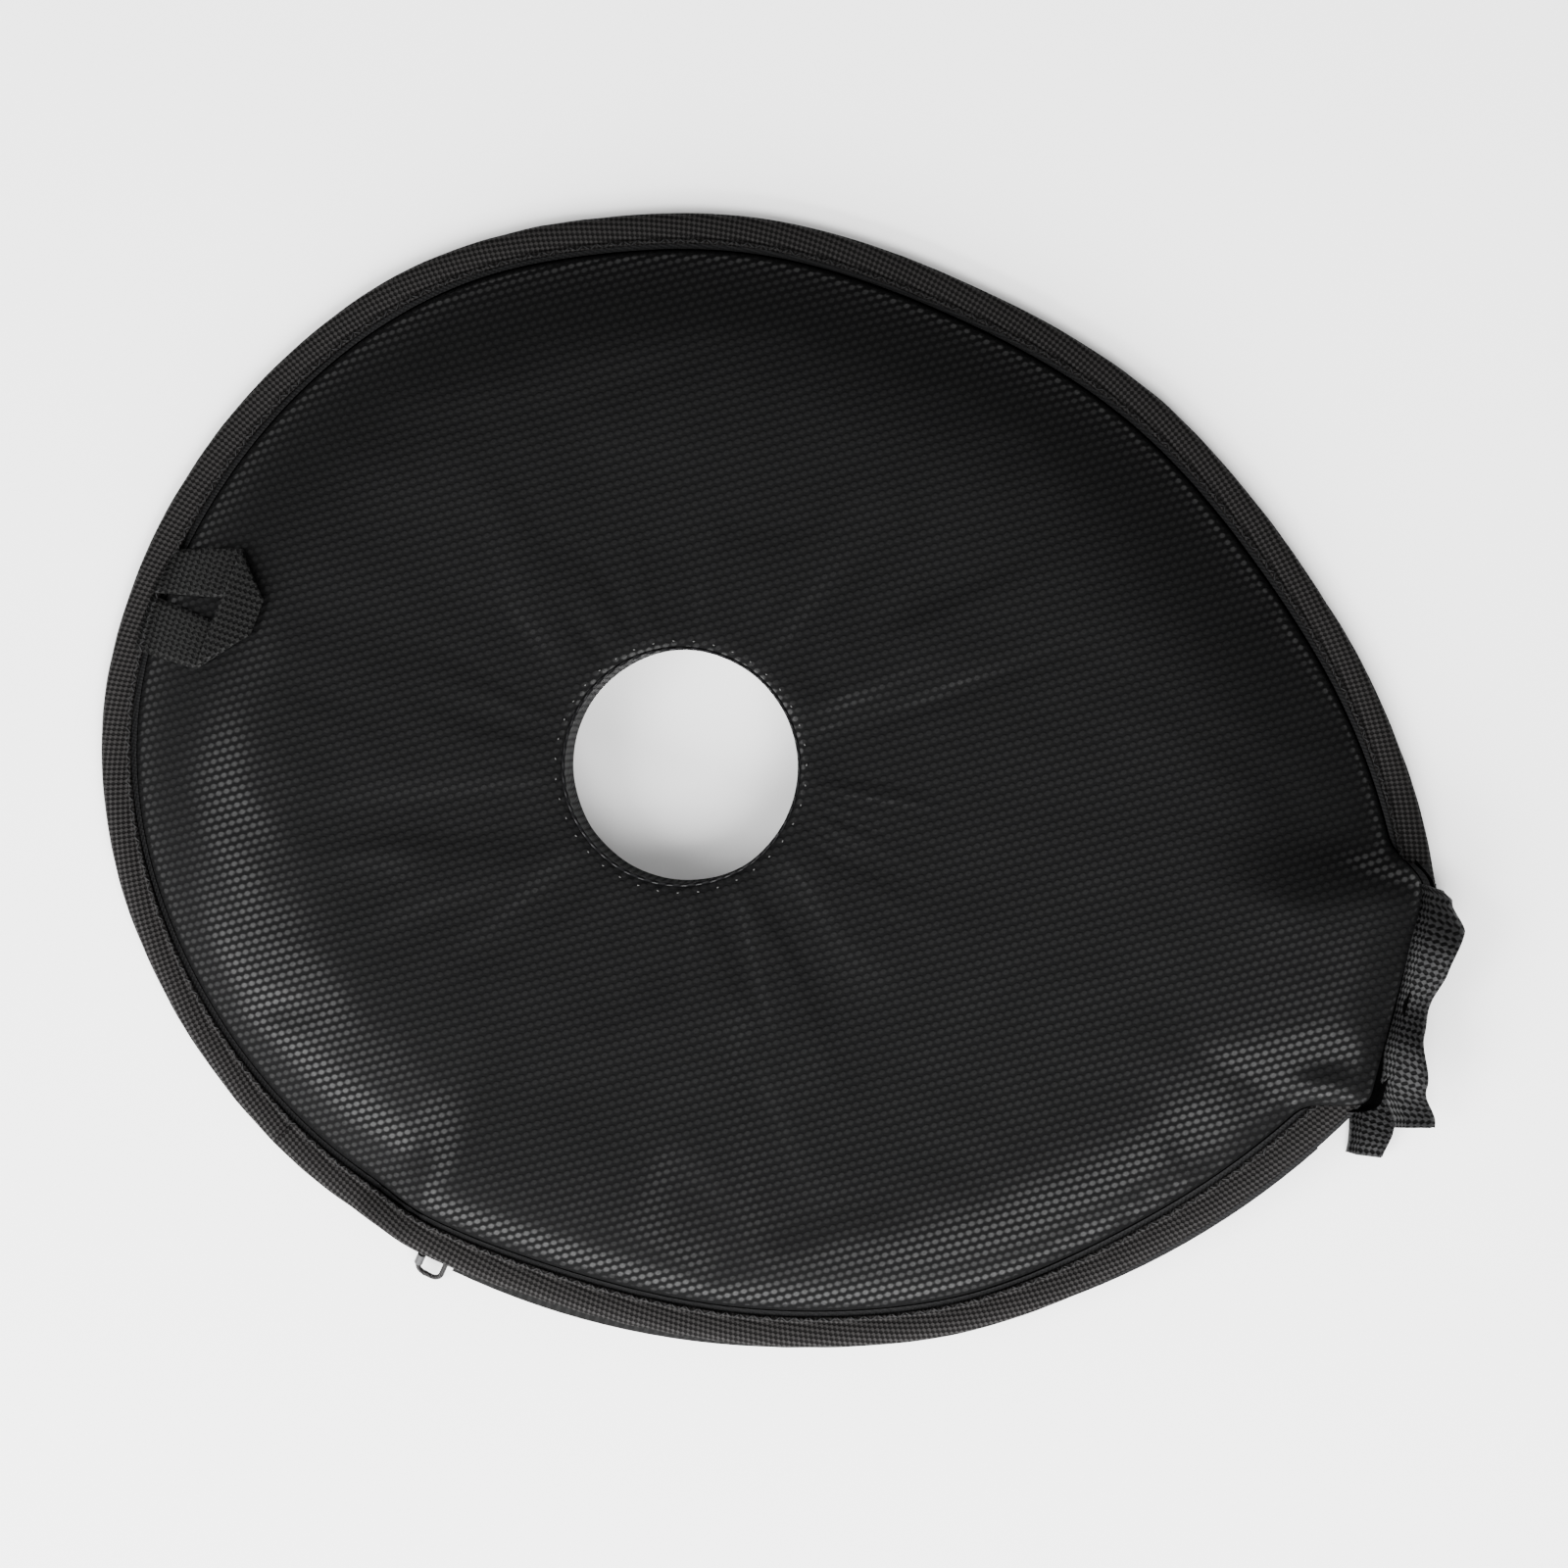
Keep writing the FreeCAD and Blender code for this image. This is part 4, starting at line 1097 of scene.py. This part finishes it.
COIL_RADIUS = 216 * MM
COIL_END = -31.2
COIL_STEPS = 240
coils = coil_tree()
nylon = coil_nylon()
for side, body, start, height in (("front", "front_flap", -97.1, 11.0), ("back", "root", -100.8, 6.8)):
    path = []
    for step in range(COIL_STEPS + 1):
        turn = math.radians(start + (COIL_END - start) * step / COIL_STEPS)
        place = SIDE_CENTRE + COIL_RADIUS * Vector((math.cos(turn), math.sin(turn)))
        path.append((place.x, place.y, height * MM))
    coil = grow(f"zip_coil_{side}_teeth", coils, path, False, Pitch=1.35 * MM, Loop=0.72 * MM,
                Strand=0.24 * MM, Material=nylon)
    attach(coil, body)
    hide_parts(f"zip_coil_{side}")

# ---------------------------------------------------------------- hanging loop
# A length of thinner, worn webbing folded twice at its tip so that both legs lie side by side, sewn
# into the binding seam at the round end and lying on the panel's shoulder.

LOOP_THICK = 1.05


def loop_bed(x, y):
    """Height of the panel under the loop."""
    point = Vector((x * MM, y * MM))
    return dome_height(point, inset_of(point)) / MM


def loop_band(name, corners, level, along, steps=22, crossings=8):
    """A flat band between four corners (root edge first), lying at a level above the panel.

    Along says that the webbing's length runs with x, and not with y.
    """
    low_start, low_end, high_end, high_start = [Vector(corner) for corner in corners]
    rows = []
    for layer in (0, 1):
        for step in range(steps + 1):
            share = step / steps
            if layer:
                share = 1 - share
            row = []
            for cross in range(crossings + 1):
                side = cross / crossings
                start = low_start + (high_start - low_start) * side
                end = low_end + (high_end - low_end) * side
                place = start + (end - start) * share
                swell = 0.2 * math.sin(math.pi * side)
                lift = level + (1 - layer) * (LOOP_THICK + swell)
                row.append((place.x * MM, place.y * MM, (loop_bed(place.x, place.y) + lift) * MM))
            rows.append(row)

    def cut(row, column):
        x, y = rows[row % len(rows)][column][:2]
        return (x, y) if along else (y, x)

    band = build_grid(name, rows, wrap_columns=False, wrap_rows=True, uv_rows=cut)
    close_ends(band)
    return band


worn_webbing = webbing_weave("worn_webbing", (0.0016, 0.0016, 0.0016), (0.0066, 0.0066, 0.0064), shine=0.035)
loop_pieces = [
    loop_band("loop_lower_leg", [(-160.5, -16.2), (-139.4, -15.4), (-127.4, -1.6), (-160.5, 0.2)], 0.5, True),
    loop_band("loop_upper_leg", [(-160.5, 0.8), (-126.6, 8.9), (-137.0, 21.0), (-157.5, 14.8)], 0.7, True),
    loop_band("loop_tip", [(-139.8, -14.8), (-137.2, 20.8), (-126.0, 9.2), (-126.8, -1.3)], 1.75, False),
]
for band in loop_pieces:
    band.data.materials.append(worn_webbing)
hanging_loop = loop_pieces[0]
joined = bmesh.new()
for band in loop_pieces:
    joined.from_mesh(band.data)
joined.to_mesh(hanging_loop.data)
joined.free()
hanging_loop.name = "hanging_loop_webbing"
for band in loop_pieces[1:]:
    bpy.data.objects.remove(band)
hanging_loop.data.polygons.foreach_set("use_smooth", [True] * len(hanging_loop.data.polygons))
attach(hanging_loop, "hang_loop")
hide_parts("hanging_loop")
